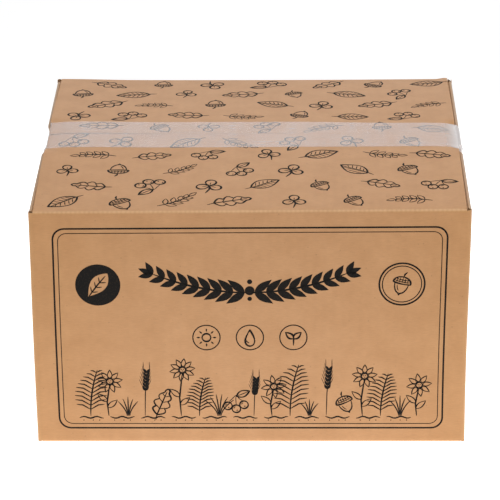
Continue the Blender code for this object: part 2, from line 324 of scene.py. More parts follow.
def board_place(along, height, depth, side):
    """Place of points of the folded sheet, from where they lay on the flat one.

    along runs round the walls, height up the sheet with the front wall's base crease at
    zero, depth into the board from its outer face. side marks the side walls' sheet. The
    place is the plan of the walls, moved in by the crease's fold, at the fold's height,
    with the departures of the outer face's point added.
    """
    along, height, depth, side = np.broadcast_arrays(along, height, depth, side)
    top = np.where(side, SHORT_TOP, CREASE_HEIGHT)
    base = np.where(side, SHORT_BASE, 0.0)
    lid = height > (top + base) / 2
    past = np.where(lid, height - top, base - height)
    angle = np.where(lid & ~side, LID_ANGLE, math.pi / 2)
    to_corner = np.min(np.abs(along[..., None] - WALL_STARTS[:-1]), -1)
    on_side_wall = ((along < WALL_STARTS[FRONT_WALL])
                    | ((along > WALL_STARTS[LEFT_WALL]) & (along < WALL_STARTS[REAR_WALL])))
    stands = ~side & (to_corner < np.where(on_side_wall, EAR_INSET, CORNER_RADIUS) + TOLERANCE)

    def folded(layer):
        """Place and outward direction of the points at a depth, before any departure."""
        inset, drop = crease_fold(past, layer, angle)
        inset, drop = np.where(stands, layer, inset), np.where(stands, -past, drop)
        keep = fade(past - FOLD_RADIUS, CORNER_EASES)
        spot, out = plan(along, layer, keep)
        spot = spot - out * (inset - layer)[..., None]
        folded_share = np.clip((past + FOLD_RADIUS) / (2 * FOLD_RADIUS), 0, 1)
        rear_run = np.clip((along - WALL_STARTS[REAR_WALL]) / (WIDTH - LAYER), 0, 1)
        run_on = rear_run * folded_share ** (1 + OVERHANG_LAG * layer / BOARD)
        spot[..., 0] += OVERHANG_AT_TAB * run_on * (along > WALL_STARTS[REAR_WALL]) * ~side
        step = BASE_STEP * ramp(inset, BASE_STEP_FROM - BASE_STEP_RUN, BASE_STEP_FROM)
        level_height = np.where(lid, top - drop, base + drop + step * ~side)
        return np.concatenate((spot, level_height[..., None]), -1), out

    outer = folded(np.zeros_like(depth))[0]
    place, out = folded(depth)
    return place + departures(outer, out, past, lid, side)


# The rows of the grid, up the flat sheet. Between the side walls' creases both kinds of
# sheet share them. Beyond, the long walls have two rows before their own creases, and the
# side flaps have two rows more to match.
FOLD_SHARES = np.linspace(-1, 1, 7)
ARC = FOLD_SHARES[1:] * FOLD_RADIUS
FLAP_BUNCHING = 0.5                 # how much closer the rows are near a flap's two ends
EAR_ROWS = 4                        # rows past the side walls' creases that the ears still fill
# How far past its crease each kind of flap ends, on the flat sheet.
LONG_END = FOLD_RADIUS + ((FLAP_REACH - FOLD_RADIUS * (1 - math.cos(LID_ANGLE)))
                          / math.sin(LID_ANGLE))
BASE_END = FLAP_REACH
SHORT_END = HALF_DEPTH


def bunched(share, bunching):
    """Move shares from 0 to 1 towards both ends, by a full sine wave."""
    return share - bunching * np.sin(2 * math.pi * share) / (2 * math.pi)


def flap_rows(end, count):
    """Distances past a crease, from the fold to the free edge, closer near both ends."""
    share = bunched(np.linspace(0, 1, count + 1)[1:], FLAP_BUNCHING)
    return FOLD_RADIUS + (end - FOLD_RADIUS) * share


def sheet_rows(top_count, base_count, wall_count):
    """Heights on the flat sheet of every row, for the long walls and for the side walls.

    Up a wall the way left to the tab's upper end is the square of the share of rows left.
    The base flaps have rows where their step begins and ends.
    """
    tab_low = SHORT_BASE + BOARD + TAB_TRIM
    tab_high = SHORT_TOP - BOARD - TAB_TRIM
    share = 1 - (1 - np.linspace(0, 1, wall_count)) ** 2
    wall = np.concatenate(([SHORT_BASE + FOLD_RADIUS], tab_low + (tab_high - tab_low) * share,
                           [SHORT_TOP - FOLD_RADIUS]))
    flat_base = flap_rows(BASE_STEP_FROM - BASE_STEP_RUN, base_count - 2)
    base = np.concatenate((flat_base, [BASE_STEP_FROM, BASE_END]))
    long_rows = np.concatenate((
        -base[::-1], -ARC[::-1], [FOLD_RADIUS, SHORT_BASE], wall,
        [SHORT_TOP, CREASE_HEIGHT - FOLD_RADIUS], CREASE_HEIGHT + ARC,
        CREASE_HEIGHT + flap_rows(LONG_END, top_count)))
    side_rows = np.concatenate((
        SHORT_BASE - flap_rows(SHORT_END, base_count + 2)[::-1], SHORT_BASE - ARC[::-1], wall,
        SHORT_TOP + ARC, SHORT_TOP + flap_rows(SHORT_END, top_count + 2)))
    return long_rows, side_rows


def wall_stations(wall, spacing, bunching):
    """Distances along the sheet of the grid's lines across one wall, between its folds.

    They are rounded to a tenth of a micrometre, so that lines that meet become one.
    """
    start, end = WALL_STARTS[wall:wall + 2]
    left = CORNER_RADIUS if wall else 0.0
    right_side = CORNER_RADIUS if wall < GLUE_TAB else 0.0
    if wall in FLAP_ENDS:
        cuts, end_cuts = [FLAP_ENDS[wall][0]], [FLAP_ENDS[wall][1]]
    elif wall == GLUE_TAB:
        cuts, end_cuts = [], []
    else:
        cuts = [EAR_INSET, SHORT_FLAP_INSET]
        end_cuts = [EAR_INSET, SHORT_FLAP_INSET]
    first = start + (cuts[-1] if cuts else left)
    final = end - (end_cuts[-1] if end_cuts else right_side)
    share = np.linspace(0, 1, max(2, round((final - first) / spacing) + 1))
    middle = first + (final - first) * bunched(share, bunching)
    ends = [start + left] + [start + cut for cut in cuts] + [end - cut for cut in end_cuts]
    return np.unique(np.round(np.concatenate((ends, middle, [end - right_side])), 7))


def sheet_stations(long_spacing, side_spacing, bunching):
    """All the grid's lines along the sheet, with the arcs at its four folds."""
    parts = []
    for wall in range(len(WALL_CORNERS)):
        spacing = long_spacing if wall in (FRONT_WALL, REAR_WALL) else side_spacing
        spread = bunching if wall in (FRONT_WALL, REAR_WALL) else 0.0
        parts.append(wall_stations(wall, spacing, spread))
        if wall < GLUE_TAB:
            parts.append(WALL_STARTS[wall + 1] + FOLD_SHARES[1:-1] * CORNER_RADIUS)
    return np.concatenate(parts)


def cut_sheet(stations, long_rows):
    """Which cells of the grid the die leaves, and which stations carry side flaps.

    Beside each slot an ear stands, the bit of wall that no flap carries on. The joint
    tab is cut back above and below, and the long flaps' ends are cut by FLAP_ENDS.
    """
    base_rows = int(np.searchsorted(long_rows, SHORT_BASE + FOLD_RADIUS - TOLERANCE))
    top_rows = int(np.searchsorted(long_rows, SHORT_TOP - FOLD_RADIUS - TOLERANCE))
    middle = (stations[1:] + stations[:-1]) / 2
    wall = np.clip(np.searchsorted(WALL_STARTS, middle) - 1, 0, GLUE_TAB)
    from_start = middle - WALL_STARTS[wall]
    from_end = WALL_STARTS[wall + 1] - middle
    closest = np.minimum(from_start, from_end)
    long_wall = (wall == FRONT_WALL) | (wall == REAR_WALL)
    insets = np.array([FLAP_ENDS.get(number, (0.0, 0.0)) for number in range(len(WALL_CORNERS))])
    end_inset = np.where(from_start < from_end, insets[wall, 0], insets[wall, 1])
    corner = closest < CORNER_RADIUS
    corner[(wall == RIGHT_WALL) & (from_start < from_end)] = False
    row = np.arange(len(long_rows) - 1)[:, None]
    ear = (row >= base_rows - EAR_ROWS) & (row < top_rows + EAR_ROWS)
    bare = (row >= base_rows) & (row < top_rows)
    tab = (row >= base_rows + 1) & (row < top_rows - 1)
    kept = np.ones((len(row), len(middle)), bool)
    kept = np.where(long_wall & (closest < end_inset), ear, kept)
    kept = np.where(~long_wall & (closest < SHORT_FLAP_INSET), bare, kept)
    kept = np.where(~long_wall & (closest < EAR_INSET), ear, kept)
    kept = np.where(corner, ear, kept)
    tab_fold = (row >= base_rows) & (row < top_rows + 1)
    kept = np.where((wall == REAR_WALL) & (from_end < CORNER_RADIUS), tab_fold, kept)
    kept = np.where(wall == GLUE_TAB, np.where(from_start < CORNER_RADIUS, tab_fold, tab), kept)
    station_wall = np.clip(np.searchsorted(WALL_STARTS, stations) - 1, 0, GLUE_TAB)
    near = np.minimum(stations - WALL_STARTS[station_wall],
                      WALL_STARTS[station_wall + 1] - stations)
    side = ((station_wall == RIGHT_WALL) | (station_wall == LEFT_WALL)) & (
        near > SHORT_FLAP_INSET - TOLERANCE)
    return kept, side


def sheet_faces(kept):
    """Four-sided faces of a thin sheet from the kept cells of its grid.

    The outer face, the inner face turned over, and a strip along every edge where a
    kept cell has no kept neighbour. Inner points are numbered after all outer ones.
    """
    rows, columns = kept.shape
    number = np.arange((rows + 1) * (columns + 1)).reshape(rows + 1, columns + 1)
    corners = [number[:-1, :-1], number[1:, :-1], number[1:, 1:], number[:-1, 1:]]
    outer = np.stack([corner[kept] for corner in corners], 1)
    inner = outer[:, ::-1] + number.size
    framed = np.pad(kept, 1)
    neighbours = [framed[1:-1, :-2], framed[2:, 1:-1], framed[1:-1, 2:], framed[:-2, 1:-1]]
    strips = []
    for side, neighbour in enumerate(neighbours):
        free = kept & ~neighbour
        first = corners[side][free]
        second = corners[(side + 1) % 4][free]
        strips.append(np.stack((second, first, first + number.size, second + number.size), 1))
    return np.concatenate([outer, inner] + strips)


def make_piece(name, points, faces, material, flat, sharp=40.0):
    """Make a mesh object from an array of points and a list of arrays of faces.

    flat gives each point's place on the flat sheet, in metres, as the piece's UV map.
    Edges that turn by more than sharp degrees stay sharp. Points that no face uses are
    dropped.
    """
    corners = np.concatenate([block.ravel() for block in faces])
    used, corners = np.unique(corners, return_inverse=True)
    sizes = np.concatenate([np.full(len(block), block.shape[1]) for block in faces])
    mesh = bpy.data.meshes.new(name)
    mesh.vertices.add(len(used))
    mesh.vertices.foreach_set("co", points[used].astype(np.float32).ravel())
    mesh.loops.add(len(corners))
    mesh.loops.foreach_set("vertex_index", corners.astype(np.int32))
    mesh.polygons.add(len(sizes))
    mesh.polygons.foreach_set("loop_start", (np.cumsum(sizes) - sizes).astype(np.int32))
    layer = mesh.uv_layers.new(name="flat_sheet")
    layer.data.foreach_set("uv", flat[used][corners].astype(np.float32).ravel())
    mesh.update(calc_edges=True)
    mesh.validate()
    mesh.shade_smooth()
    mesh.set_sharp_from_angle(angle=math.radians(sharp))
    mesh.materials.append(material)
    piece = bpy.data.objects.new(name, mesh)
    bpy.context.scene.collection.objects.link(piece)
    return piece


def linear(colour):
    """Turn an sRGB hex colour, such as "c08a5a", to linear red, green, blue and alpha 1."""
    values = [int(colour[i:i + 2], 16) / 255 for i in (0, 2, 4)]
    return [v / 12.92 if v <= 0.04045 else ((v + 0.055) / 1.055) ** 2.4 for v in values] + [1.0]


def add_node(tree, kind, inputs=None, **settings):
    """Add a node with its settings. inputs holds values or other nodes' outputs to link."""
    node = tree.nodes.new(kind)
    for name, value in settings.items():
        setattr(node, name, value)
    for socket, value in (inputs or {}).items():
        if isinstance(value, bpy.types.NodeSocket):
            tree.links.new(value, node.inputs[socket])
        else:
            node.inputs[socket].default_value = value
    return node


def new_material(name):
    """Make a material, and give it with its node tree and its shader."""
    material = bpy.data.materials.new(name)
    material.use_nodes = True
    tree = material.node_tree
    return material, tree, tree.nodes["Principled BSDF"]


FLUTE_PITCH = 0.0062                # B flute, crest to crest
FIBRE_LENGTH = 0.005                # kraft fibre is 3 mm by 0.03 mm; drawn wide to show
FIBRE_WIDTH = 0.0006
CLOUD_SIZE = 0.018                  # patches where the pulp settled thicker
SPECK_SIZE = 0.0012                 # bark specks in unbleached pulp
SPECK_APART = 6 * SPECK_SIZE
WEAR_PATCH = 2.5 * FLUTE_PITCH      # a crushed crease is worn more in some places than others
# The light line along creases and corner folds is crushed paper, and it also carries a painted
# highlight of the rounded fold.
CREASE_WORN_AND_HIGHLIGHT = 0.0013                # half width of the light line along a crease
CORNER_WORN_AND_HIGHLIGHT = 0.0012
CORNER_SHARE = 0.7                  # and how much of it a corner fold shows
# The side crests' grey is painted sheen: the room's light glancing off their round, painted into the
# colour.
CREST_SHEEN = 0.65                          # how grey the side crests are
CREST_SHEEN_ABOVE = 0.0002
CREST_SHEEN_WIDTH = 0.0019


def kraft_liner(name, colour, dark, worn_and_highlight, roughness, bead_highlights):
    """Unbleached kraft liner, machine-made paper: cloudy, fibrous, faintly ribbed, matt.

    Paper that was crushed along a crease or a fold breaks its fibres and looks lighter,
    and the light band also holds a painted highlight of the rounded fold, with a painted
    bead for every flute wall that it crosses. The side crests are painted grey, a painted
    sheen of the room's light glancing off their round. Away from their middles the walls
    are painted yellower, so that a painted reflection stays paler in each wall's middle.
    The ribs' shade is also faintly painted into the colour, along the flutes.
    The fluting, of semichemical pulp, is the same but duller and rougher, and not beaded.
    colour and dark are the pulp's two cloudy tones. The worn colour is that of the crushed
    paper and its painted highlight, and the bead strength is how strongly the painted
    beads show.
    """
    material, tree, shader = new_material(name)
    sheet = add_node(tree, "ShaderNodeUVMap", uv_map="flat_sheet").outputs["UV"]
    split = add_node(tree, "ShaderNodeSeparateXYZ", {"Vector": sheet})

    clouds = add_node(tree, "ShaderNodeTexNoise", {
        "Vector": sheet, "Scale": 1 / CLOUD_SIZE, "Detail": 4.0, "Roughness": 0.6})
    fibre_grid = add_node(tree, "ShaderNodeMapping", {
        "Vector": sheet, "Scale": (1 / FIBRE_LENGTH, 1 / FIBRE_WIDTH, 1.0)})
    fibres = add_node(tree, "ShaderNodeTexNoise", {
        "Vector": fibre_grid.outputs["Vector"], "Scale": 1.0, "Detail": 3.0, "Roughness": 0.65})
    specks = add_node(tree, "ShaderNodeTexVoronoi", {
        "Vector": sheet, "Scale": 1 / SPECK_APART})
    speck_dark = add_node(tree, "ShaderNodeMapRange", {
        "Value": specks.outputs["Distance"], "From Min": 0.03, "From Max": 0.09,
        "To Min": 0.35, "To Max": 0.0})

    phase = add_node(tree, "ShaderNodeMath", {
        0: split.outputs["X"], 1: 2 * math.pi / FLUTE_PITCH}, operation="MULTIPLY")
    flutes = add_node(tree, "ShaderNodeMath", {0: phase.outputs[0]}, operation="COSINE")
    steps = add_node(tree, "ShaderNodeMath", {0: phase.outputs[0], 1: 2.0}, operation="MULTIPLY")
    flute_sides = add_node(tree, "ShaderNodeMath", {0: steps.outputs[0]}, operation="COSINE")
    uneven = add_node(tree, "ShaderNodeTexNoise", {
        "Vector": sheet, "Scale": 1 / WEAR_PATCH, "Detail": 3.0, "Roughness": 0.6})

    tone = add_node(tree, "ShaderNodeMapRange", {
        "Value": clouds.outputs["Fac"], "From Min": 0.3, "From Max": 0.7})
    base = add_node(tree, "ShaderNodeMix", {
        "Factor": tone.outputs["Result"], 6: linear(dark), 7: linear(colour)}, data_type="RGBA")
    grain = add_node(tree, "ShaderNodeMapRange", {
        "Value": fibres.outputs["Fac"], "From Min": 0.3, "From Max": 0.7,
        "To Min": 0.93, "To Max": 1.05})
    # painted shade: the colour is darkened and lightened a little along the flutes, the washboard
    # ribs' shade
    ribbed_painted_shade = add_node(tree, "ShaderNodeMath", {
        0: flutes.outputs[0], 1: 0.006, 2: grain.outputs["Result"]}, operation="MULTIPLY_ADD")
    fibred = add_node(tree, "ShaderNodeVectorMath", {
        0: base.outputs[2], "Scale": ribbed_painted_shade.outputs[0]}, operation="SCALE")
    flecked = add_node(tree, "ShaderNodeMix", {
        "Factor": speck_dark.outputs["Result"], 6: fibred.outputs[0],
        7: linear("7a5636")}, data_type="RGBA")

    # painted highlight: the crease band and its beads at the flute bumps are crushed paper and also a
    # painted highlight of the fold
    wear_highlight = add_node(tree, "ShaderNodeAttribute", attribute_name="worn_and_highlight")
    bead_highlight = add_node(tree, "ShaderNodeMath", {
        0: flute_sides.outputs[0], 1: bead_highlights, 2: 0.3}, operation="MULTIPLY_ADD")
    patchy = add_node(tree, "ShaderNodeMath", {
        0: uneven.outputs["Fac"], 1: 1.1, 2: bead_highlight.outputs[0]}, operation="MULTIPLY_ADD")
    beaded_highlight = add_node(tree, "ShaderNodeMath", {
        0: wear_highlight.outputs["Fac"], 1: patchy.outputs[0]}, operation="MULTIPLY", use_clamp=True)
    scuffed_highlight = add_node(tree, "ShaderNodeMath", {
        0: beaded_highlight.outputs[0], 1: grain.outputs["Result"]}, operation="MULTIPLY", use_clamp=True)
    creased = add_node(tree, "ShaderNodeMix", {
        "Factor": scuffed_highlight.outputs[0], 6: flecked.outputs[2], 7: linear(worn_and_highlight)}, data_type="RGBA")
    # painted sheen: grey painted over the round of each side crest
    crest_painted_sheen = add_node(tree, "ShaderNodeAttribute", attribute_name="crest_painted_sheen")
    sheen_greyed = add_node(tree, "ShaderNodeMix", {
        "Factor": crest_painted_sheen.outputs["Fac"], 6: creased.outputs[2], 7: linear("b5a391")},
        data_type="RGBA")
    # painted reflection: the walls are tinted yellower away from their middles, so that each middle
    # stays paler
    painted_reflection_falloff = add_node(tree, "ShaderNodeAttribute", attribute_name="painted_reflection_falloff")
    reflection_falloff_tinted = add_node(tree, "ShaderNodeMix", {
        "Factor": painted_reflection_falloff.outputs["Fac"], 6: sheen_greyed.outputs[2],
        7: (0.99, 0.95, 0.82, 1.0)}, data_type="RGBA", blend_type="MULTIPLY")
    tree.links.new(reflection_falloff_tinted.outputs[2], shader.inputs["Base Color"])

    relief = add_node(tree, "ShaderNodeMath", {
        0: flutes.outputs[0], 1: 0.5, 2: fibres.outputs["Fac"]}, operation="MULTIPLY_ADD")
    bump = add_node(tree, "ShaderNodeBump", {
        "Height": relief.outputs[0], "Strength": 0.35, "Distance": 0.00006})
    tree.links.new(bump.outputs["Normal"], shader.inputs["Normal"])
    shader.inputs["Roughness"].default_value = roughness
    shader.inputs["IOR"].default_value = 1.5
    shader.inputs["Sheen Weight"].default_value = 0.12
    shader.inputs["Sheen Roughness"].default_value = 0.5
    return material


def set_wear_and_painted_light(piece, heights, along, side):
    """Store the paper's wear and its painted light at each point.

    It is worn, with a painted highlight, in a bell across each crease and each corner
    fold. The grey painted sheen is a bell over the round of each side crest. The walls'
    yellow tint, which leaves a paler painted reflection in each wall's middle, grows with
    the square of the distance from a wall's middle.
    """
    top = np.where(side, SHORT_TOP, CREASE_HEIGHT)
    base = np.where(side, SHORT_BASE, 0.0)
    to_crease = np.minimum(np.abs(heights - top), np.abs(heights - base))
    to_corner = np.min(np.abs(along[..., None] - WALL_STARTS[1:-1]), -1)
    worn_and_highlight = np.maximum(hump(to_crease, 0, CREASE_WORN_AND_HIGHLIGHT), CORNER_SHARE * hump(to_corner, 0, CORNER_WORN_AND_HIGHLIGHT))
    # painted sheen on the round of the side crests
    crest_painted_sheen = CREST_SHEEN * hump(heights, SHORT_TOP + CREST_SHEEN_ABOVE, CREST_SHEEN_WIDTH) * side
    # painted reflection: yellow tint on the walls grows away from each wall's middle, leaving the
    # middle paler
    wall = np.clip(np.searchsorted(WALL_STARTS, along) - 1, 0, GLUE_TAB)
    middle = (WALL_STARTS[wall] + WALL_STARTS[wall + 1]) / 2
    painted_reflection_falloff = np.clip(np.abs(along - middle) / HALF_WIDTH, 0, 1) ** 2 * (heights < CREASE_HEIGHT)
    for name, values in (("worn_and_highlight", worn_and_highlight), ("crest_painted_sheen", crest_painted_sheen), ("painted_reflection_falloff", painted_reflection_falloff)):
        attribute = piece.data.attributes.new(name, "FLOAT", "POINT")
        attribute.data.foreach_set("value", values.astype(np.float32))


def make_ply(name, depths, stations, rows, material):
    """One layer of the board as a thin closed sheet, folded with the others.

    depths gives the depth of its outer and of its inner face at each station.
    """
    long_rows, side_rows = rows
    kept, side = cut_sheet(stations, long_rows)
    heights = np.where(side, side_rows[:, None], long_rows[:, None])
    places = [board_place(stations, heights, depth, side) for depth in depths]
    points = np.concatenate([place.reshape(-1, 3) for place in places])
    along = np.broadcast_to(stations, heights.shape)
    flat = np.stack((along, heights), -1).reshape(-1, 2)
    faces = sheet_faces(kept)
    used = np.unique(faces)
    piece = make_piece(name, points, [faces], material, np.tile(flat, (2, 1)))
    all_sides = np.tile(np.broadcast_to(side, heights.shape).ravel(), 2)[used]
    set_wear_and_painted_light(piece, np.tile(heights.ravel(), 2)[used], np.tile(along.ravel(), 2)[used], all_sides)
    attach(piece, "root")
    return piece


LINER = 0.00025                     # 175 g/m2 kraft liner
MEDIUM = 0.0002
FLUTE_STATIONS = 6                  # grid lines to a flute
GLUE_LINE = 0.00006                 # between a flute's crest and the liner
outer_kraft = kraft_liner("unbleached kraft liner, outer", colour="c69363", dark="bc8958",
                          worn_and_highlight="d9ab7c", roughness=0.55, bead_highlights=0.16)
inner_kraft = kraft_liner("unbleached kraft liner, inner", colour="b98f66", dark="ae845c",
                          worn_and_highlight="c9a078", roughness=0.75, bead_highlights=0.2)
fluting = kraft_liner("semichemical fluting medium", colour="a67c52", dark="99704a",
                      worn_and_highlight="b58b60", roughness=0.85, bead_highlights=0.0)

liner_stations = sheet_stations(long_spacing=0.0042, side_spacing=0.0019, bunching=0.78)
liner_rows = sheet_rows(top_count=36, base_count=14, wall_count=13)
outer_liner = make_ply("outer_liner", (0.0, LINER), liner_stations, liner_rows, outer_kraft)
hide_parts("carton")
make_ply("inner_liner", (BOARD - LINER, BOARD), liner_stations, liner_rows, inner_kraft)

medium_step = FLUTE_PITCH / FLUTE_STATIONS
medium_stations = sheet_stations(medium_step, medium_step, bunching=0.0)
medium_rows = sheet_rows(top_count=14, base_count=6, wall_count=7)
wave = (BOARD / 2 - LINER - MEDIUM / 2 - GLUE_LINE) * np.cos(
    2 * math.pi * medium_stations / FLUTE_PITCH)
medium_depths = [BOARD / 2 + wave - MEDIUM / 2, BOARD / 2 + wave + MEDIUM / 2]
make_ply("fluted_medium", medium_depths, medium_stations, medium_rows, fluting)

# The print. One-colour flexographic print, black water-based ink laid on the outer liner
# by a rubber plate before the blank is cut. A scatter of woodland sprigs covers the lid
# flaps, and the front wall carries a ruled frame, a garland, badges and a row of plants.
INK_OVER = 0.00005                  # top of the ink above the paper, drawn thicker than real
INK_UNDER = 0.00003                 # the ink soaks in this far
MM = 0.001
LEAF_LINE = 1.15                    # millimetres, the plate's usual drawn line
FINE_LINE = 0.7
LONGEST_STEP = 2.0                  # straight pieces of a line, millimetres
SHORTEST_STEP = 0.15
THIN_END = 0.35                     # share of its width that a line has at its ends
BRUSH_SWELL = 0.22                  # and by which a closed line swells and thins


def refine(points, closed=False):
    """Add points along a path, so that no piece is longer than LONGEST_STEP."""
    points = np.asarray(points, float)
    if closed:
        points = np.concatenate((points, points[:1]))
    length = np.concatenate(([0], np.cumsum(np.hypot(*np.diff(points, axis=0).T))))
    count = max(2, int(math.ceil(length[-1] / LONGEST_STEP)) + 1, len(points))
    at = np.unique(np.concatenate((np.linspace(0, length[-1], count), length)))
    at = at[np.concatenate(([True], np.diff(at) > SHORTEST_STEP))]
    path = np.stack([np.interp(at, length, points[:, axis]) for axis in (0, 1)], 1)
    return path[:-1] if closed else path


def stroke(points, width, closed=False, taper=True):
    """A drawn line: a band of ink along a path, four corners to each section.

    The half width follows the root of a half sine wave along an open line. It swells and
    thins twice round a closed one, as a brush line does, unless taper is off.
    """
    path = refine(points, closed)
    count = len(path)
    if closed:
        way = np.roll(path, -1, 0) - np.roll(path, 1, 0)
        turn = np.arange(count) / count * 2 * math.pi
        half = width / 2 * (1 + BRUSH_SWELL * np.sin(2 * turn + path[0, 0]) * taper)
    else:
        way = np.gradient(path, axis=0)
        full = np.sqrt(np.sin(math.pi * np.linspace(0, 1, count)))
        half = width / 2 * (THIN_END + (1 - THIN_END) * full)
    way = way / np.linalg.norm(way, axis=1, keepdims=True)
    aside = np.stack((-way[:, 1], way[:, 0]), 1) * half[:, None]
    spots = np.concatenate((path + aside, path - aside, path - aside, path + aside))
    over = np.repeat((1.0, 1.0, 0.0, 0.0), count)
    here = np.arange(count if closed else count - 1)
    following = (here + 1) % count
    faces = [np.stack((here + a * count, here + b * count,
                       following + b * count, following + a * count), 1)
             for a, b in ((0, 1), (1, 2), (2, 3), (3, 0))]
    if not closed:
        corner = np.arange(4) * count
        faces += [corner[None, ::-1], corner[None] + count - 1]
    return spots, over, np.concatenate(faces), np.zeros((0, 3), int)


def solid(outline):
    """A filled shape: a fan of triangles over its outline, and one below."""
    rim = refine(outline, True)
    area = np.sum(rim[:, 0] * np.roll(rim[:, 1], -1) - np.roll(rim[:, 0], -1) * rim[:, 1])
    rim = rim if area > 0 else rim[::-1]
    count = len(rim)
    here = np.arange(count)
    following = (here + 1) % count
    spots = np.concatenate((rim, rim, rim.mean(0, keepdims=True), rim.mean(0, keepdims=True)))
    over = np.concatenate((np.ones(count), np.zeros(count), (1.0, 0.0)))
    fan = np.stack((here, following, np.full(count, 2 * count)), 1)
    under = np.stack((following + count, here + count, np.full(count, 2 * count + 1)), 1)
    edge = np.stack((following, here, here + count, following + count), 1)
    return spots, over, edge, np.concatenate((fan, under))


def knocked_out(outline, hole):
    """A filled shape with a hole in it, both outlines having the same number of points."""
    count = len(outline)
    here = np.arange(count)
    following = (here + 1) % count
    spots = np.concatenate((outline, hole, hole, outline))
    over = np.repeat((1.0, 1.0, 0.0, 0.0), count)
    faces = [np.stack((here + a * count, here + b * count,
                       following + b * count, following + a * count), 1)[:, ::-1]
             for a, b in ((0, 1), (1, 2), (2, 3), (3, 0))]
    return spots, over, np.concatenate(faces), np.zeros((0, 3), int)


def arc(centre, radius, start, end, count=24, squash=1.0):
    """Points of an arc of an ellipse, angles in degrees, height squashed."""
    turn = np.radians(np.linspace(start, end, count))
    return np.stack((centre[0] + radius * np.cos(turn),
                     centre[1] + radius * squash * np.sin(turn)), 1)


def ring_points(centre, radius, count=40):
    """Points of a whole circle, without repeating the first."""
    return arc(centre, radius, 0, 360, count + 1)[:-1]


def leaf_outline(length, breadth, base=(0.0, 0.0), turn=0.0, fullness=0.85, count=13):
    """A pointed leaf from its base: each side a half sine wave, fuller near the base."""
    share = np.linspace(0, 1, count)
    half = breadth / 2 * np.sin(math.pi * share ** fullness)
    points = np.concatenate((np.stack((share * length, half), 1),
                             np.stack((share * length, -half), 1)[-2:0:-1]))
    return turned(points, turn) + np.asarray(base)


def turned(points, degrees):
    """Turn flat points about the origin."""
    angle = math.radians(degrees)
    return np.asarray(points) @ np.array([[math.cos(angle), math.sin(angle)],
                                          [-math.sin(angle), math.cos(angle)]])


def placed(drawing, place, degrees=0.0, size=1.0):
    """Turn, scale and place every part of a drawing."""
    return [(turned(spots * size, degrees) + np.asarray(place), over, quads, triangles)
            for spots, over, quads, triangles in drawing]


# The drawings. Their bare numbers are millimetres on the plate, and degrees.
def beech_leaf():
    """Pointed leaf with a stalk, a midrib and five pairs of side veins."""
    length, breadth = 22.0, 12.5
    drawing = [stroke(leaf_outline(length, breadth, (-length / 2, 0)), LEAF_LINE, closed=True)]
    spine = np.linspace(-0.72, 0.42, 12)
    drawing.append(stroke(np.stack((spine * length, 1.2 * np.sin(4 * spine) * 0.5), 1), LEAF_LINE))
    for start in np.linspace(-0.34, 0.2, 5):
        reach = breadth / 2 * math.sin(math.pi * (start + 0.62) ** 0.85)
        for side in (1, -1):
            drawing.append(stroke([(start * length, side * 0.3),
                                   ((start + 0.07) * length, side * reach * 0.45),
                                   ((start + 0.12) * length, side * reach * 0.82)], FINE_LINE))
    return drawing


def oak_leaf():
    """Lobed leaf: the half breadth rises and falls three and a half times."""
    length, breadth = 24.0, 13.0
    share = np.linspace(0.0, 1.0, 40)
    half = (breadth / 2 * (0.55 + 0.45 * np.abs(np.sin(3.5 * math.pi * share)))
            * np.sin(math.pi * share ** 0.75) ** 0.7)
    edge = np.stack(((share - 0.5) * length, half), 1)
    outline = np.concatenate((edge, edge[-2:0:-1] * (1, -1)))
    drawing = [stroke(outline, LEAF_LINE, closed=True),
               stroke([(-0.7 * length, -1.0), (-0.5 * length, 0), (0.4 * length, 0.4)], LEAF_LINE)]
    for start in (-0.28, -0.02, 0.2):
        for side in (1, -1):
            drawing.append(stroke([(start * length, 0), ((start + 0.1) * length, side * 3.6)],
                                  FINE_LINE))
    return drawing


def acorn():
    """Acorn in its hatched cup, with a short stalk."""
    drawing = [stroke(np.concatenate((arc((0, 0), 5.2, 180, 262, 12, 1.7),
                                      [(0.0, -10.2)], arc((0, 0), 5.2, 278, 360, 12, 1.7))),
                      LEAF_LINE),
               stroke(np.concatenate((arc((0, 0), 6.6, 0, 180, 22, 0.72),
                                      arc((0, 0), 6.6, 188, 352, 16, 0.16))), LEAF_LINE, True),
               stroke([(0, 4.8), (0.4, 7.0), (1.8, 9.0)], 1.3),
               stroke(arc((0, 0), 3.2, 200, 252, 8, 2.2), FINE_LINE)]
    for level_height in (1.4, 2.9):
        reach = 6.2 * math.sqrt(1 - (level_height / 4.75) ** 2)
        drawing.append(stroke(arc((0, level_height), reach, 190, 350, 12, 0.13), FINE_LINE))
    for across in (-4.2, -2.1, 0.0, 2.1, 4.2):
        top = 4.4 * math.sqrt(1 - (across / 6.6) ** 2)
        drawing.append(stroke([(across, 0.0), (across * 0.9, top)], FINE_LINE))
    return drawing


def sprig():
    """Curved stalk with four pairs of small leaves and one at its tip."""
    run = np.linspace(-13, 10, 14)
    stalk = np.stack((run, 0.012 * run ** 2 - 1), 1)
    drawing = [stroke(stalk, LEAF_LINE)]
    for number, x in enumerate((-8.0, -3.0, 2.0, 6.5)):
        for side in (1, -1):
            base = (x, 0.012 * x ** 2 - 1)
            small = leaf_outline(7.4 - 0.9 * number, 3.2, base, side * (52 - 4 * number), count=7)
            drawing.append(stroke(small, 0.65, True))
    drawing.append(stroke(leaf_outline(6.0, 2.8, (10, 0.2), 12, count=7), 0.65, True))
    return drawing


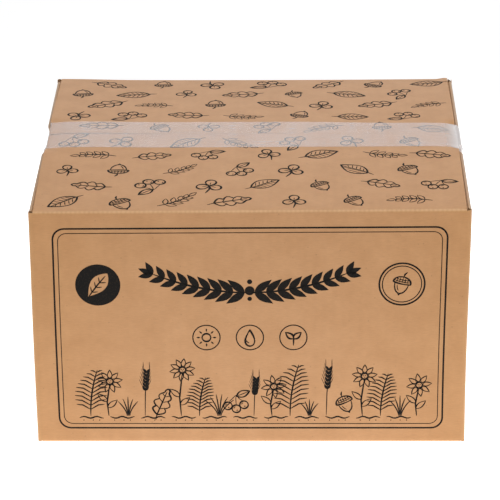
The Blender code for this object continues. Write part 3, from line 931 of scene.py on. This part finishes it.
def berries():
    """Three berries on forked stalks, each with a highlight, and one leaf."""
    drawing = [stroke(leaf_outline(11, 5.5, (1.0, 5.0), 24, count=9), LEAF_LINE, True),
               stroke([(1.5, 5.2), (6.0, 7.2), (10.0, 9.0)], FINE_LINE)]
    for x, y in ((-6.0, -3.5), (0.5, -6.0), (6.5, -2.5)):
        drawing.append(stroke(ring_points((x, y), 3.3, 20), LEAF_LINE, True))
        drawing.append(stroke(arc((x, y), 1.9, 110, 175, 6), FINE_LINE))
        drawing.append(stroke([(x * 0.9, y + 3.3), (x * 0.45, y * 0.1 + 3.0), (0.5, 6.0)], 0.65))
        drawing.append(solid(ring_points((x + 0.6, y - 1.3), 0.55, 8)))
    return drawing


def clover():
    """Three round leaflets on a stalk, each a loop drawn in towards the middle."""
    drawing = [stroke([(0, -1), (0.8, -5), (-0.6, -10.5)], LEAF_LINE)]
    for turn in (90, 205, -25):
        share = np.linspace(0, 1, 22)
        reach = 8.0 * np.sin(math.pi * share) ** 0.55
        bend = np.radians(turn) + (share - 0.5) * 1.9
        loop = np.stack((reach * np.cos(bend), reach * np.sin(bend)), 1)[1:-1]
        drawing.append(stroke(np.concatenate(([(0, 0)], loop)), LEAF_LINE, True))
        tip = np.array((math.cos(math.radians(turn)), math.sin(math.radians(turn))))
        drawing.append(stroke([tip * 1.0, tip * 4.6], FINE_LINE))
    return drawing


LID_ROWS = (15.0, 40.0, 65.0, 90.0, 114.0)      # of motifs, millimetres past the crease
LID_SPACING = 40.0
LID_SPAN = 130.0                    # a row runs this far to both sides of the middle
LID_PRINT_REACH = 128.0             # but no motif's middle lies further out than this
NUDGE = (0.07 * LID_SPACING, 2.2)   # along a row and across it
TILT = 38                           # degrees to either side
TURNED_OVER = 0.3                   # share of the motifs that stand on their heads
SKIPPED = 0.35                      # share after which the next motif is passed over
MOTIF_SIZES = (0.95, 1.15)


def scatter(motifs, seed):
    """Motifs in staggered rows on a lid flap, each nudged, turned and sized a little."""
    chance = np.random.default_rng(seed)
    drawing, turn_of = [], 0
    for number, row in enumerate(CREASE_HEIGHT / MM + np.array(LID_ROWS)):
        offset = LID_SPACING / 2 * (number % 2)
        for x in np.arange(-LID_SPAN + offset, LID_SPAN + 1, LID_SPACING):
            nudge = chance.uniform(-1, 1, 2) * NUDGE
            degrees = chance.uniform(-TILT, TILT) + 180 * (chance.random() < TURNED_OVER)
            place = (np.clip(x + nudge[0], -LID_PRINT_REACH, LID_PRINT_REACH), row + nudge[1])
            drawing += placed(motifs[turn_of % len(motifs)], place, degrees,
                              chance.uniform(*MOTIF_SIZES))
            turn_of += 1 + int(chance.random() < SKIPPED)
    return drawing


def garland(rise, span, count):
    """Two branches of filled leaves that meet in the middle and curve up at the ends."""
    drawing = []
    for side in (1, -1):
        share = np.linspace(0.05, 1, count)
        for number, at in enumerate(share):
            x, y = at * span, rise * at ** 2
            slope = math.degrees(math.atan2(2 * rise * at, span))
            length = 15.5 - 5.0 * at
            for leaning in (38, -34):
                outline = leaf_outline(length, 5.6 - 1.2 * at, (x, y), slope + leaning,
                                       0.8, 9) * (side, 1)
                drawing.append(solid(outline))
            if number == count - 1:
                drawing.append(solid(leaf_outline(11, 4.2, (x, y), slope, 0.8, 9) * (side, 1)))
        stem = np.linspace(0, 1, 30)
        drawing.append(stroke(np.stack((stem * span * side, rise * stem ** 2), 1), 1.5))
    drawing.append(solid(ring_points((0, 1.5), 3.4, 16)))
    drawing.append(solid(ring_points((0, 8.2), 1.8, 12)))
    drawing.append(solid(ring_points((0, -4.6), 1.6, 12)))
    return drawing


def rule_frame(reach, low, high, radius, width):
    """A ruled frame with rounded corners, reaching as far to the left as to the right."""
    corners = [arc((reach - radius, high - radius), radius, 90, 0, 8),
               arc((reach - radius, low + radius), radius, 0, -90, 8),
               arc((radius - reach, low + radius), radius, -90, -180, 8),
               arc((radius - reach, high - radius), radius, 180, 90, 8)]
    return [stroke(np.concatenate(corners), width, True, taper=False)]


def fern(height):
    """Upright frond: a bending stem with pairs of leaflets that shorten upwards."""
    stem = np.linspace(0, 1, 16)
    bend = 0.16 * height * stem ** 2
    drawing = [stroke(np.stack((bend, stem * height), 1), LEAF_LINE)]
    for at in np.linspace(0.14, 0.94, 10):
        base = np.array((0.16 * height * at ** 2, at * height))
        reach = height * 0.27 * math.sin(math.pi * (0.22 + 0.74 * at)) + 1.5
        for side in (1, -1):
            tip = base + (side * reach, reach * 0.42)
            drawing.append(stroke([base, base + (side * reach * 0.55, reach * 0.36), tip], 1.0))
    return drawing


def daisy(height, petals=9):
    """Flower on a stalk, outlined petals round a dotted middle, with two leaves."""
    head = np.array((1.5, height))
    drawing = [stroke([(0, 0), (-0.9, height * 0.4), (0.6, height * 0.75), head - (0, 2.2)],
                      LEAF_LINE), stroke(ring_points(head, 2.3, 14), LEAF_LINE, True)]
    for number in range(petals):
        degrees = 360 / petals * number + 9
        root = head + turned([(2.5, 0)], degrees)[0]
        drawing.append(stroke(leaf_outline(6.4, 3.2, root, degrees, 0.7, 7), 0.7, True))
    for x, y in ((-0.7, 0.4), (0.7, 0.5), (0.0, -0.8)):
        drawing.append(solid(ring_points(head + (x, y), 0.4, 6)))
    for side, at in ((1, 0.24), (-1, 0.42)):
        base = (-0.9 * at * 2, height * at)
        drawing.append(stroke(leaf_outline(9, 3.6, base, 90 - side * 48, 0.8, 9), 0.7, True))
    return drawing


def barley(height):
    """Ear of grass: a thin stalk with filled grains and long awns."""
    drawing = [stroke([(0, 0), (0.6, height * 0.5), (2.0, height)], 0.7)]
    for number, at in enumerate(np.linspace(0.58, 0.98, 6)):
        base = (0.6 + 1.4 * (at - 0.5) / 0.5, height * at)
        for side in (1, -1):
            drawing.append(solid(leaf_outline(4.6, 2.0, base, 88 - side * 30, 0.8, 6)))
            drawing.append(stroke([np.add(base, (side * 2.0, 3.6)),
                                   np.add(base, (side * (4.2 - 0.4 * number), 9.0))], 0.4))
    return drawing


def grass_tuft(height, blades=5):
    """A fan of bending blades of grass."""
    drawing = []
    for number in range(blades):
        lean = (number - (blades - 1) / 2) * 0.2 * height
        tall = height * (1 - 0.12 * abs(number - (blades - 1) / 2))
        share = np.linspace(0, 1, 7)
        drawing.append(stroke(np.stack((lean * share ** 1.8 + number * 0.5, tall * share), 1), 0.9))
    return drawing


def flower_bed(left, right_edge, ground):
    """The row of plants along the bottom of the frame, with its broken ground line."""
    drawing = []
    plants = [fern(36), daisy(27), grass_tuft(15), barley(34), oak_leaf(), daisy(36, 10), fern(30),
              grass_tuft(18, 6), berries(), barley(28), daisy(23, 8), fern(40), grass_tuft(13),
              barley(36), acorn(), daisy(31), fern(33), grass_tuft(16), daisy(24, 8)]
    low_ones = {4: 66, 8: 0, 14: 24}
    for number, (plant, x) in enumerate(zip(plants, np.linspace(left, right_edge, len(plants)))):
        lift = 11 if number in low_ones else 0
        drawing += placed(plant, (x, ground + lift), low_ones.get(number, 0),
                          0.9 if number in low_ones else 1.0)
    for start in np.arange(left - 8, right_edge, 21.5):
        run = np.linspace(0, 17, 12)
        drawing.append(stroke(np.stack((start + run, ground - 1.2 + 0.7 * np.sin(run * 0.7 + start)),
                                       1), LEAF_LINE))
        for dot in (3.0, 9.5, 14.0):
            drawing.append(solid(ring_points((start + dot, ground - 3.4), 0.45, 6)))
    return drawing


def badges():
    """A filled disc with a leaf left bare, a ringed acorn, and three small ringed signs."""
    disc = ring_points((0, 0), 15.5, 48)
    bare = np.roll(leaf_outline(22, 11.2, (11, 0), 180, count=25)[::-1], 1, 0)
    drawing = placed([knocked_out(disc, bare),
                      stroke([(-13.0, -0.8), (-9, -0.2), (0, 0.2), (8.6, 0)], 1.1)]
                     + [stroke([(x, 0), (x + 3.0, side * 3.2)], 0.8)
                        for x in (-7.0, -2.5, 2.0) for side in (1, -1)], (-104, 122), 52)
    drawing += placed([stroke(disc, 1.2, True, taper=False),
                       stroke(ring_points((0, 0), 13.4, 44), FINE_LINE, True, taper=False)],
                      (104, 122))
    drawing += placed(acorn(), (104, 123), -14, 0.92)
    for x in (-30, 0, 30):
        drawing.append(stroke(ring_points((x, 82), 9.4, 36), 0.8, True, taper=False))
    drawing.append(stroke(ring_points((-30, 82), 3.0, 16), LEAF_LINE, True))
    drawing += [stroke([np.add((-30, 82), turned([(4.4, 0)], degrees)[0]),
                        np.add((-30, 82), turned([(6.8, 0)], degrees)[0])], LEAF_LINE)
                for degrees in range(0, 360, 45)]
    share = np.linspace(0, 1, 24)[:-1]
    drop = np.stack((4.4 * np.sin(2 * math.pi * share) * np.sin(math.pi * share) ** 1.2,
                     6.2 * np.cos(2 * math.pi * share) - 0.4), 1)
    drawing.append(stroke(drop + (0, 82), LEAF_LINE, True))
    drawing.append(stroke(arc((0, 80.2), 2.4, 190, 260, 7), FINE_LINE))
    drawing.append(stroke([(30, 75.8), (30.2, 80), (30, 84.0)], LEAF_LINE))
    drawing.append(stroke(leaf_outline(7.2, 3.6, (30, 81), 42, 0.8, 9), LEAF_LINE, True))
    drawing.append(stroke(leaf_outline(7.2, 3.6, (30, 81), 138, 0.8, 9), LEAF_LINE, True))
    return drawing


def print_piece(name, wall, drawing, material):
    """Lay a drawing on one wall and its lid flap, through the folded sheet's shape.

    Drawing coordinates are millimetres: across from the wall's middle, to the right as
    seen from outside, and up the flat sheet from the base crease. The ink's top lies
    INK_OVER above the paper and its underside INK_UNDER below.
    """
    sizes = np.cumsum([0] + [len(part[0]) for part in drawing])
    spots = np.concatenate([part[0] for part in drawing]) * MM
    over = np.concatenate([part[1] for part in drawing])
    quads = np.concatenate([part[2] + start for part, start in zip(drawing, sizes)])
    triangles = np.concatenate([part[3] + start for part, start in zip(drawing, sizes)])
    along = WALL_STARTS[wall] + HALF_WIDTH - spots[:, 0]
    depth = np.where(over > 0, -INK_OVER, INK_UNDER)
    places = board_place(along, spots[:, 1], depth, False)
    piece = make_piece(name, places, [quads, triangles], material,
                       np.stack((along, spots[:, 1]), 1), sharp=30.0)
    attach(piece, "root")


INK_GRAIN = 1 / 900                 # coarse fibres take less ink


def flexo_ink():
    """Water-based flexographic ink on kraft: near black, matt, thin over coarse fibres."""
    material, tree, shader = new_material("black flexographic ink")
    sheet = add_node(tree, "ShaderNodeUVMap", uv_map="flat_sheet").outputs["UV"]
    grain = add_node(tree, "ShaderNodeTexNoise", {
        "Vector": sheet, "Scale": 1 / INK_GRAIN, "Detail": 3.0, "Roughness": 0.7})
    thin = add_node(tree, "ShaderNodeMapRange", {
        "Value": grain.outputs["Fac"], "From Min": 0.52, "From Max": 0.78, "To Max": 0.55})
    mixed = add_node(tree, "ShaderNodeMix", {
        "Factor": thin.outputs["Result"], 6: linear("13110f"), 7: linear("4a3828")},
        data_type="RGBA")
    tree.links.new(mixed.outputs[2], shader.inputs["Base Color"])
    shader.inputs["Roughness"].default_value = 0.65
    shader.inputs["IOR"].default_value = 1.45
    shader.inputs["Specular IOR Level"].default_value = 0.15
    return material


ink = flexo_ink()
lid_motifs = [beech_leaf(), acorn(), sprig(), oak_leaf(), berries(), clover()]
front_print = (scatter(lid_motifs, seed=4)
               + rule_frame(reach=134, low=11.5, high=164, radius=8, width=1.2)
               + rule_frame(reach=130.6, low=14.9, high=160.6, radius=6, width=0.55)
               + placed(garland(rise=14.0, span=66.0, count=9), (0, 116))
               + badges() + flower_bed(left=-112, right_edge=116, ground=21))
print_piece("front_print", FRONT_WALL, front_print, ink)
print_piece("rear_lid_print", REAR_WALL, scatter(lid_motifs, seed=9), ink)

# The tapes. Frosted polypropylene film with acrylic adhesive, 50 mm wide, pulled tight
# along each seam by a hand dispenser, pressed over the side creases and down the walls,
# and torn off on the dispenser's saw edge.
TAPE_HALF = 0.025
TAPE_THICKNESS = 0.00006
TAPE_CLEAR = 0.00014                # adhesive side above the paper, over the ink
TAPE_TAIL = 0.055
TAPE_STEP = 0.00125                 # between rows across; also half a saw tooth
TOOTH = 0.0009
END_PULL = 0.0045                   # how far the film carries on level past a flap's end
CREST_AT = -0.2                     # share of the fold radius where the film lands on the crest
LANDING = (0.25, 1.1)               # it lands this much outwards a drop, and this stiffly
LID_COLUMNS = 121                   # places along the film: over the flaps, across the free
BRIDGE_STEPS = 12                   # stretch, round the crest and down a tail
CREST_COLUMNS = 5
TAIL_COLUMNS = 28
COLUMN_SPREAD = 0.75                # further apart in the seam's middle and at its ends
FLAP_MARGIN = 0.0001                # the film leaves a flap this far before its cut end
FILM_END_LEFT = HALF_WIDTH - FLAP_ENDS[FRONT_WALL][1] - FLAP_MARGIN
FILM_END_RIGHT = HALF_WIDTH - FLAP_ENDS[FRONT_WALL][0] - FLAP_MARGIN
FREE_BULGE = 0.0006                 # the free film stands out over the pinched right crest
FREE_OVER = (-0.0135, -0.0075)      # from its front part, which still follows the pinch
FREE_HEIGHT = 0.005
GATHER = {LEFT_WALL: 0.36, RIGHT_WALL: 0.46}    # share of the front half drawn in at the crests
GATHER_REAR = -0.1
BUCKLE_AT = -0.0072                 # a small crumple runs down the free film here
BUCKLE_WIDTH = 0.0016
SWELL_AT = -0.004                   # the free film bellies out most here
SWELL_WIDTH = 0.016
FILM_COVER = 0.23                   # how much of the paper each face of the film hides
COVER_SPREAD = 0.05
# Where it hangs free the film is milkier, and it is also painted whiter there: painted light from the
# room behind it.
MILKY_AND_BACKLIT_COVER = 0.42                  # and this much more where it hangs free of the paper
LOOSE_LEFT = 0.5                    # share of it at the left, where it is pulled tighter
LOOSE_CREST = 0.8                   # share at the landing, down to none past the crest
LOOSE_RUN = 0.012                   # the right end has also come off the flap over this
STREAKS = (14.0, 420.0, 1.0)        # to a metre along the film and to a metre across it
WAVES = (95.0, 22.0, 1.0)


def lid_film(x, y, depth, top):
    """Place of the film over a lid or base flap, at a distance from the middle and the seam."""
    angle = LID_ANGLE if top else math.pi / 2
    past = FOLD_RADIUS + (HALF_DEPTH - np.abs(y) - FOLD_RADIUS * (1 - math.cos(angle))) / (
        math.sin(angle))
    height = CREASE_HEIGHT + past if top else -past
    stretch = 1 - OVERHANG_AT_TAB / (WIDTH - LAYER)
    front = board_place(WALL_STARTS[FRONT_WALL] + HALF_WIDTH - x, height, depth, False)
    rear = board_place(WALL_STARTS[REAR_WALL] + (x + HALF_WIDTH) * stretch, height, depth, False)
    return np.where((y < 0)[..., None], front, rear)


def side_film(past, y, depth, top, wall):
    """Place of the film on a side wall, past or before its crease.

    Over the right crest the film doesn't follow the pinch, but for its front part. It
    stands out by the pinch's depth and FREE_BULGE more, in a bell over the height.
    """
    to_front = HALF_DEPTH + y
    along = (WALL_STARTS[LEFT_WALL] + to_front if wall == LEFT_WALL
             else WALL_STARTS[FRONT_WALL] - to_front)
    height = SHORT_TOP + past if top else SHORT_BASE - past
    place = board_place(along, height, depth, True)
    if top and wall == RIGHT_WALL:
        free = right_pinch(place[..., 1]) * (1 + FREE_BULGE / RIGHT_PINCH)
        free = free * ramp(place[..., 1], *FREE_OVER)
        place[..., 0] += free * hump(place[..., 2], SHORT_TOP, FREE_HEIGHT)
    return place


def tape_strip(name, top, node, swell, material):
    """The film as one thin closed sheet, from tail to tail.

    Over the flaps and down the walls it lies on the paper. Between a flap's cut end and
    the crease below it hangs free, on a cubic curve that leaves the flap level and
    lands on the crest along the crest's own slope. There the top film's front half is
    gathered towards the seam, by GATHER, which fades down the tail. swell bellies the
    free stretch out, in a half sine wave along it and a bell across it, and presses a
    narrow buckle down into it.
    """
    across = np.arange(-TAPE_HALF, TAPE_HALF + TOLERANCE, TAPE_STEP)
    across = across[np.abs(across) > TOLERANCE][:, None]
    share = bunched(np.linspace(-1, 1, LID_COLUMNS), -COLUMN_SPREAD)
    lid_x = (np.where(share < 0, FILM_END_LEFT, FILM_END_RIGHT) * share)[None]
    arc_past = np.linspace(CREST_AT, -1, CREST_COLUMNS)[None] * FOLD_RADIUS
    tooth = TOOTH * (np.round(across / TAPE_STEP) % 2)
    tail = TAPE_TAIL - tooth
    down_tail = np.linspace(0, 1, TAIL_COLUMNS + 1)[1:][None]
    wall_past = -FOLD_RADIUS - (tail - FOLD_RADIUS) * down_tail
    curve = np.linspace(0, 1, BRIDGE_STEPS + 1)[1:-1][None, :, None]
    down = -1.0 if top else 1.0
    faces_of_film = []
    for depth in (-TAPE_CLEAR, -TAPE_CLEAR - TAPE_THICKNESS):
        flat_part = lid_film(lid_x, across, depth, top)
        sides = {}
        for wall, sign in ((LEFT_WALL, -1), (RIGHT_WALL, 1)):
            gather = np.where(across < 0, GATHER[wall], GATHER_REAR) * top
            crest = side_film(arc_past, across * (1 - gather), depth, top, wall)
            easing = fade(-wall_past - FOLD_RADIUS, TAPE_TAIL)
            hanging = side_film(wall_past, across * (1 - gather * easing), depth, top, wall)
            first = flat_part[:, -1:] if sign > 0 else flat_part[:, :1]
            last = crest[:, :1]
            gap = np.linalg.norm(last - first, axis=-1, keepdims=True)
            leave = np.array((sign * END_PULL, 0.0, 0.0))
            land = np.array((sign * LANDING[0], 0.0, down)) * gap * LANDING[1]
            bridge = ((2 * curve ** 3 - 3 * curve ** 2 + 1) * first
                      + (curve ** 3 - 2 * curve ** 2 + curve) * leave
                      + (3 * curve ** 2 - 2 * curve ** 3) * last
                      + (curve ** 3 - curve ** 2) * land)
            arched = np.sin(math.pi * curve[..., 0])
            bridge[..., 0] += sign * swell[wall] * arched * hump(across, SWELL_AT, SWELL_WIDTH)
            bridge[..., 2] -= swell[wall] * arched * hump(across, BUCKLE_AT, BUCKLE_WIDTH)
            sides[wall] = np.concatenate((bridge, crest, hanging), 1)
        faces_of_film.append(np.concatenate(
            (sides[LEFT_WALL][:, ::-1], flat_part, sides[RIGHT_WALL]), 1))
    rows, columns = faces_of_film[0].shape[:2]
    inner, outer = faces_of_film
    points = np.concatenate((outer.reshape(-1, 3), inner.reshape(-1, 3)))
    faces = sheet_faces(np.ones((rows - 1, columns - 1), bool))
    if top:
        faces = faces[:, ::-1]
    milky_and_backlit = np.concatenate((np.ones(BRIDGE_STEPS - 1), np.linspace(LOOSE_CREST, 0, CREST_COLUMNS),
                            np.zeros(TAIL_COLUMNS)))
    on_flap = fade(FILM_END_RIGHT - lid_x[0], LOOSE_RUN) ** 2
    milky_and_backlit = np.concatenate((LOOSE_LEFT * milky_and_backlit[::-1], on_flap, milky_and_backlit)) * top
    run = np.linalg.norm(np.diff(outer[rows // 2], axis=0), axis=1)
    run = np.concatenate(([0], np.cumsum(run)))
    flat = np.stack(np.broadcast_arrays(run[None], across), -1).reshape(-1, 2)
    piece = make_piece(name, points, [faces], material, np.tile(flat, (2, 1)), sharp=50.0)
    attribute = piece.data.attributes.new("milky_and_backlit", "FLOAT", "POINT")
    attribute.data.foreach_set("value", np.tile(milky_and_backlit, 2 * rows).astype(np.float32))
    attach(piece, "root")
    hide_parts(node)


def frosted_film():
    """Biaxially drawn polypropylene film, IOR 1.49, satin, over a milky adhesive.

    Both faces of the film are seen one through the other, so each covers only part of
    what lies below. Lengthwise streaks come from rolling, and faint cross waves from
    the pull of the dispenser. Where it hangs free it is milkier, and it is also painted
    whiter there, a painted light from the room behind it.
    """
    material, tree, shader = new_material("frosted polypropylene packing tape")
    sheet = add_node(tree, "ShaderNodeUVMap", uv_map="flat_sheet").outputs["UV"]
    streak_grid = add_node(tree, "ShaderNodeMapping", {"Vector": sheet, "Scale": STREAKS})
    streaks = add_node(tree, "ShaderNodeTexNoise", {
        "Vector": streak_grid.outputs["Vector"], "Scale": 1.0, "Detail": 3.0, "Roughness": 0.6})
    wave_grid = add_node(tree, "ShaderNodeMapping", {"Vector": sheet, "Scale": WAVES})
    waves = add_node(tree, "ShaderNodeTexNoise", {
        "Vector": wave_grid.outputs["Vector"], "Scale": 1.0, "Detail": 2.0, "Roughness": 0.5})
    milk = add_node(tree, "ShaderNodeMath", {
        0: streaks.outputs["Fac"], 1: waves.outputs["Fac"]}, operation="ADD")
    cover = add_node(tree, "ShaderNodeMapRange", {
        "Value": milk.outputs[0], "From Min": 0.7, "From Max": 1.3,
        "To Min": FILM_COVER - COVER_SPREAD, "To Max": FILM_COVER + COVER_SPREAD})
    # painted light: the free film is made more opaque and so whiter, partly for its milkiness off the
    # paper and partly for the room's light behind it
    milky_and_backlit = add_node(tree, "ShaderNodeAttribute", attribute_name="milky_and_backlit")
    milky_and_backlit_cover = add_node(tree, "ShaderNodeMath", {
        0: milky_and_backlit.outputs["Fac"], 1: MILKY_AND_BACKLIT_COVER, 2: cover.outputs["Result"]},
        operation="MULTIPLY_ADD")
    tree.links.new(milky_and_backlit_cover.outputs[0], shader.inputs["Alpha"])
    relief = add_node(tree, "ShaderNodeMath", {
        0: waves.outputs["Fac"], 1: 3.0, 2: streaks.outputs["Fac"]}, operation="MULTIPLY_ADD")
    bump = add_node(tree, "ShaderNodeBump", {
        "Height": relief.outputs[0], "Strength": 0.5, "Distance": 0.0002})
    tree.links.new(bump.outputs["Normal"], shader.inputs["Normal"])
    shader.inputs["Base Color"].default_value = linear("f4efee")
    shader.inputs["Roughness"].default_value = 0.38
    shader.inputs["IOR"].default_value = 1.49
    return material


film = frosted_film()
tape_strip("top_tape_film", True, "top_tape", {LEFT_WALL: 0.0, RIGHT_WALL: 0.0005}, film)
tape_strip("base_tape_film", False, "base_tape", {LEFT_WALL: 0.0, RIGHT_WALL: 0.0}, film)

# Floor and light. A lit white table under the carton, brightest round its foot, in a dim
# white room with a large soft light above and one behind that glances off the lid.
FLOOR_SIZE = 12.0
FLOOR_BELOW = 0.0002                # keeps the floor clear of the base
GLOW_OVER = (0.05, 0.45)            # the table's glow falls over this distance from the walls
GLOW = (1.45, 0.55)
ROOM_LIGHT = 0.25
floor_mesh = bpy.data.meshes.new("floor")
half = FLOOR_SIZE / 2
floor_mesh.from_pydata([(-half, -half, 0), (half, -half, 0), (half, half, 0), (-half, half, 0)],
                       [], [(0, 1, 2, 3)])
floor = bpy.data.objects.new("floor", floor_mesh)
bpy.context.scene.collection.objects.link(floor)
floor.location.z = -FLOOR_BELOW
floor_paint, floor_tree, floor_shader = new_material("matt white sweep")
floor_shader.inputs["Base Color"].default_value = linear("c8c8c8")
floor_shader.inputs["Roughness"].default_value = 0.9
floor_shader.inputs["Emission Color"].default_value = (1.0, 1.0, 1.0, 1.0)
place = add_node(floor_tree, "ShaderNodeTexCoord").outputs["Object"]
mirrored = add_node(floor_tree, "ShaderNodeVectorMath", {0: place}, operation="ABSOLUTE")
beyond = add_node(floor_tree, "ShaderNodeVectorMath", {
    0: mirrored.outputs[0], 1: (HALF_WIDTH, HALF_DEPTH, 0.0)}, operation="SUBTRACT")
outside = add_node(floor_tree, "ShaderNodeVectorMath", {
    0: beyond.outputs[0], 1: (0.0, 0.0, 0.0)}, operation="MAXIMUM")
away = add_node(floor_tree, "ShaderNodeVectorMath", {0: outside.outputs[0]}, operation="LENGTH")
glow = add_node(floor_tree, "ShaderNodeMapRange", {
    "Value": away.outputs["Value"], "From Min": GLOW_OVER[0], "From Max": GLOW_OVER[1],
    "To Min": GLOW[0], "To Max": GLOW[1]}, interpolation_type="SMOOTHSTEP")
floor_tree.links.new(glow.outputs["Result"], floor_shader.inputs["Emission Strength"])
floor_mesh.materials.append(floor_paint)

world = bpy.data.worlds.new("white room")
world.use_nodes = True
room = world.node_tree.nodes["Background"]
room.inputs["Color"].default_value = (1.0, 1.0, 1.0, 1.0)
room.inputs["Strength"].default_value = ROOM_LIGHT
bpy.context.scene.world = world


def add_softbox(name, place, target, size, power):
    """A flat light of a width and a height at a place, turned to a target, power in watts."""
    light = bpy.data.lights.new(name, "AREA")
    light.shape = "RECTANGLE"
    light.size, light.size_y = size
    light.energy = power
    box = bpy.data.objects.new(name, light)
    box.location = place
    box.rotation_euler = (Vector(place) - Vector(target)).to_track_quat("Z", "Y").to_euler()
    box.visible_camera = False
    bpy.context.scene.collection.objects.link(box)


add_softbox("overhead softbox", place=(0.2, -0.4, 1.9), target=(0.0, 0.0, 0.1),
            size=(1.6, 1.6), power=26.0)
add_softbox("rear softbox", place=(0.0, 1.7, 0.95), target=(0.0, 0.0, 0.18),
            size=(1.0, 0.8), power=5.0)
bpy.context.scene.view_settings.view_transform = "Standard"
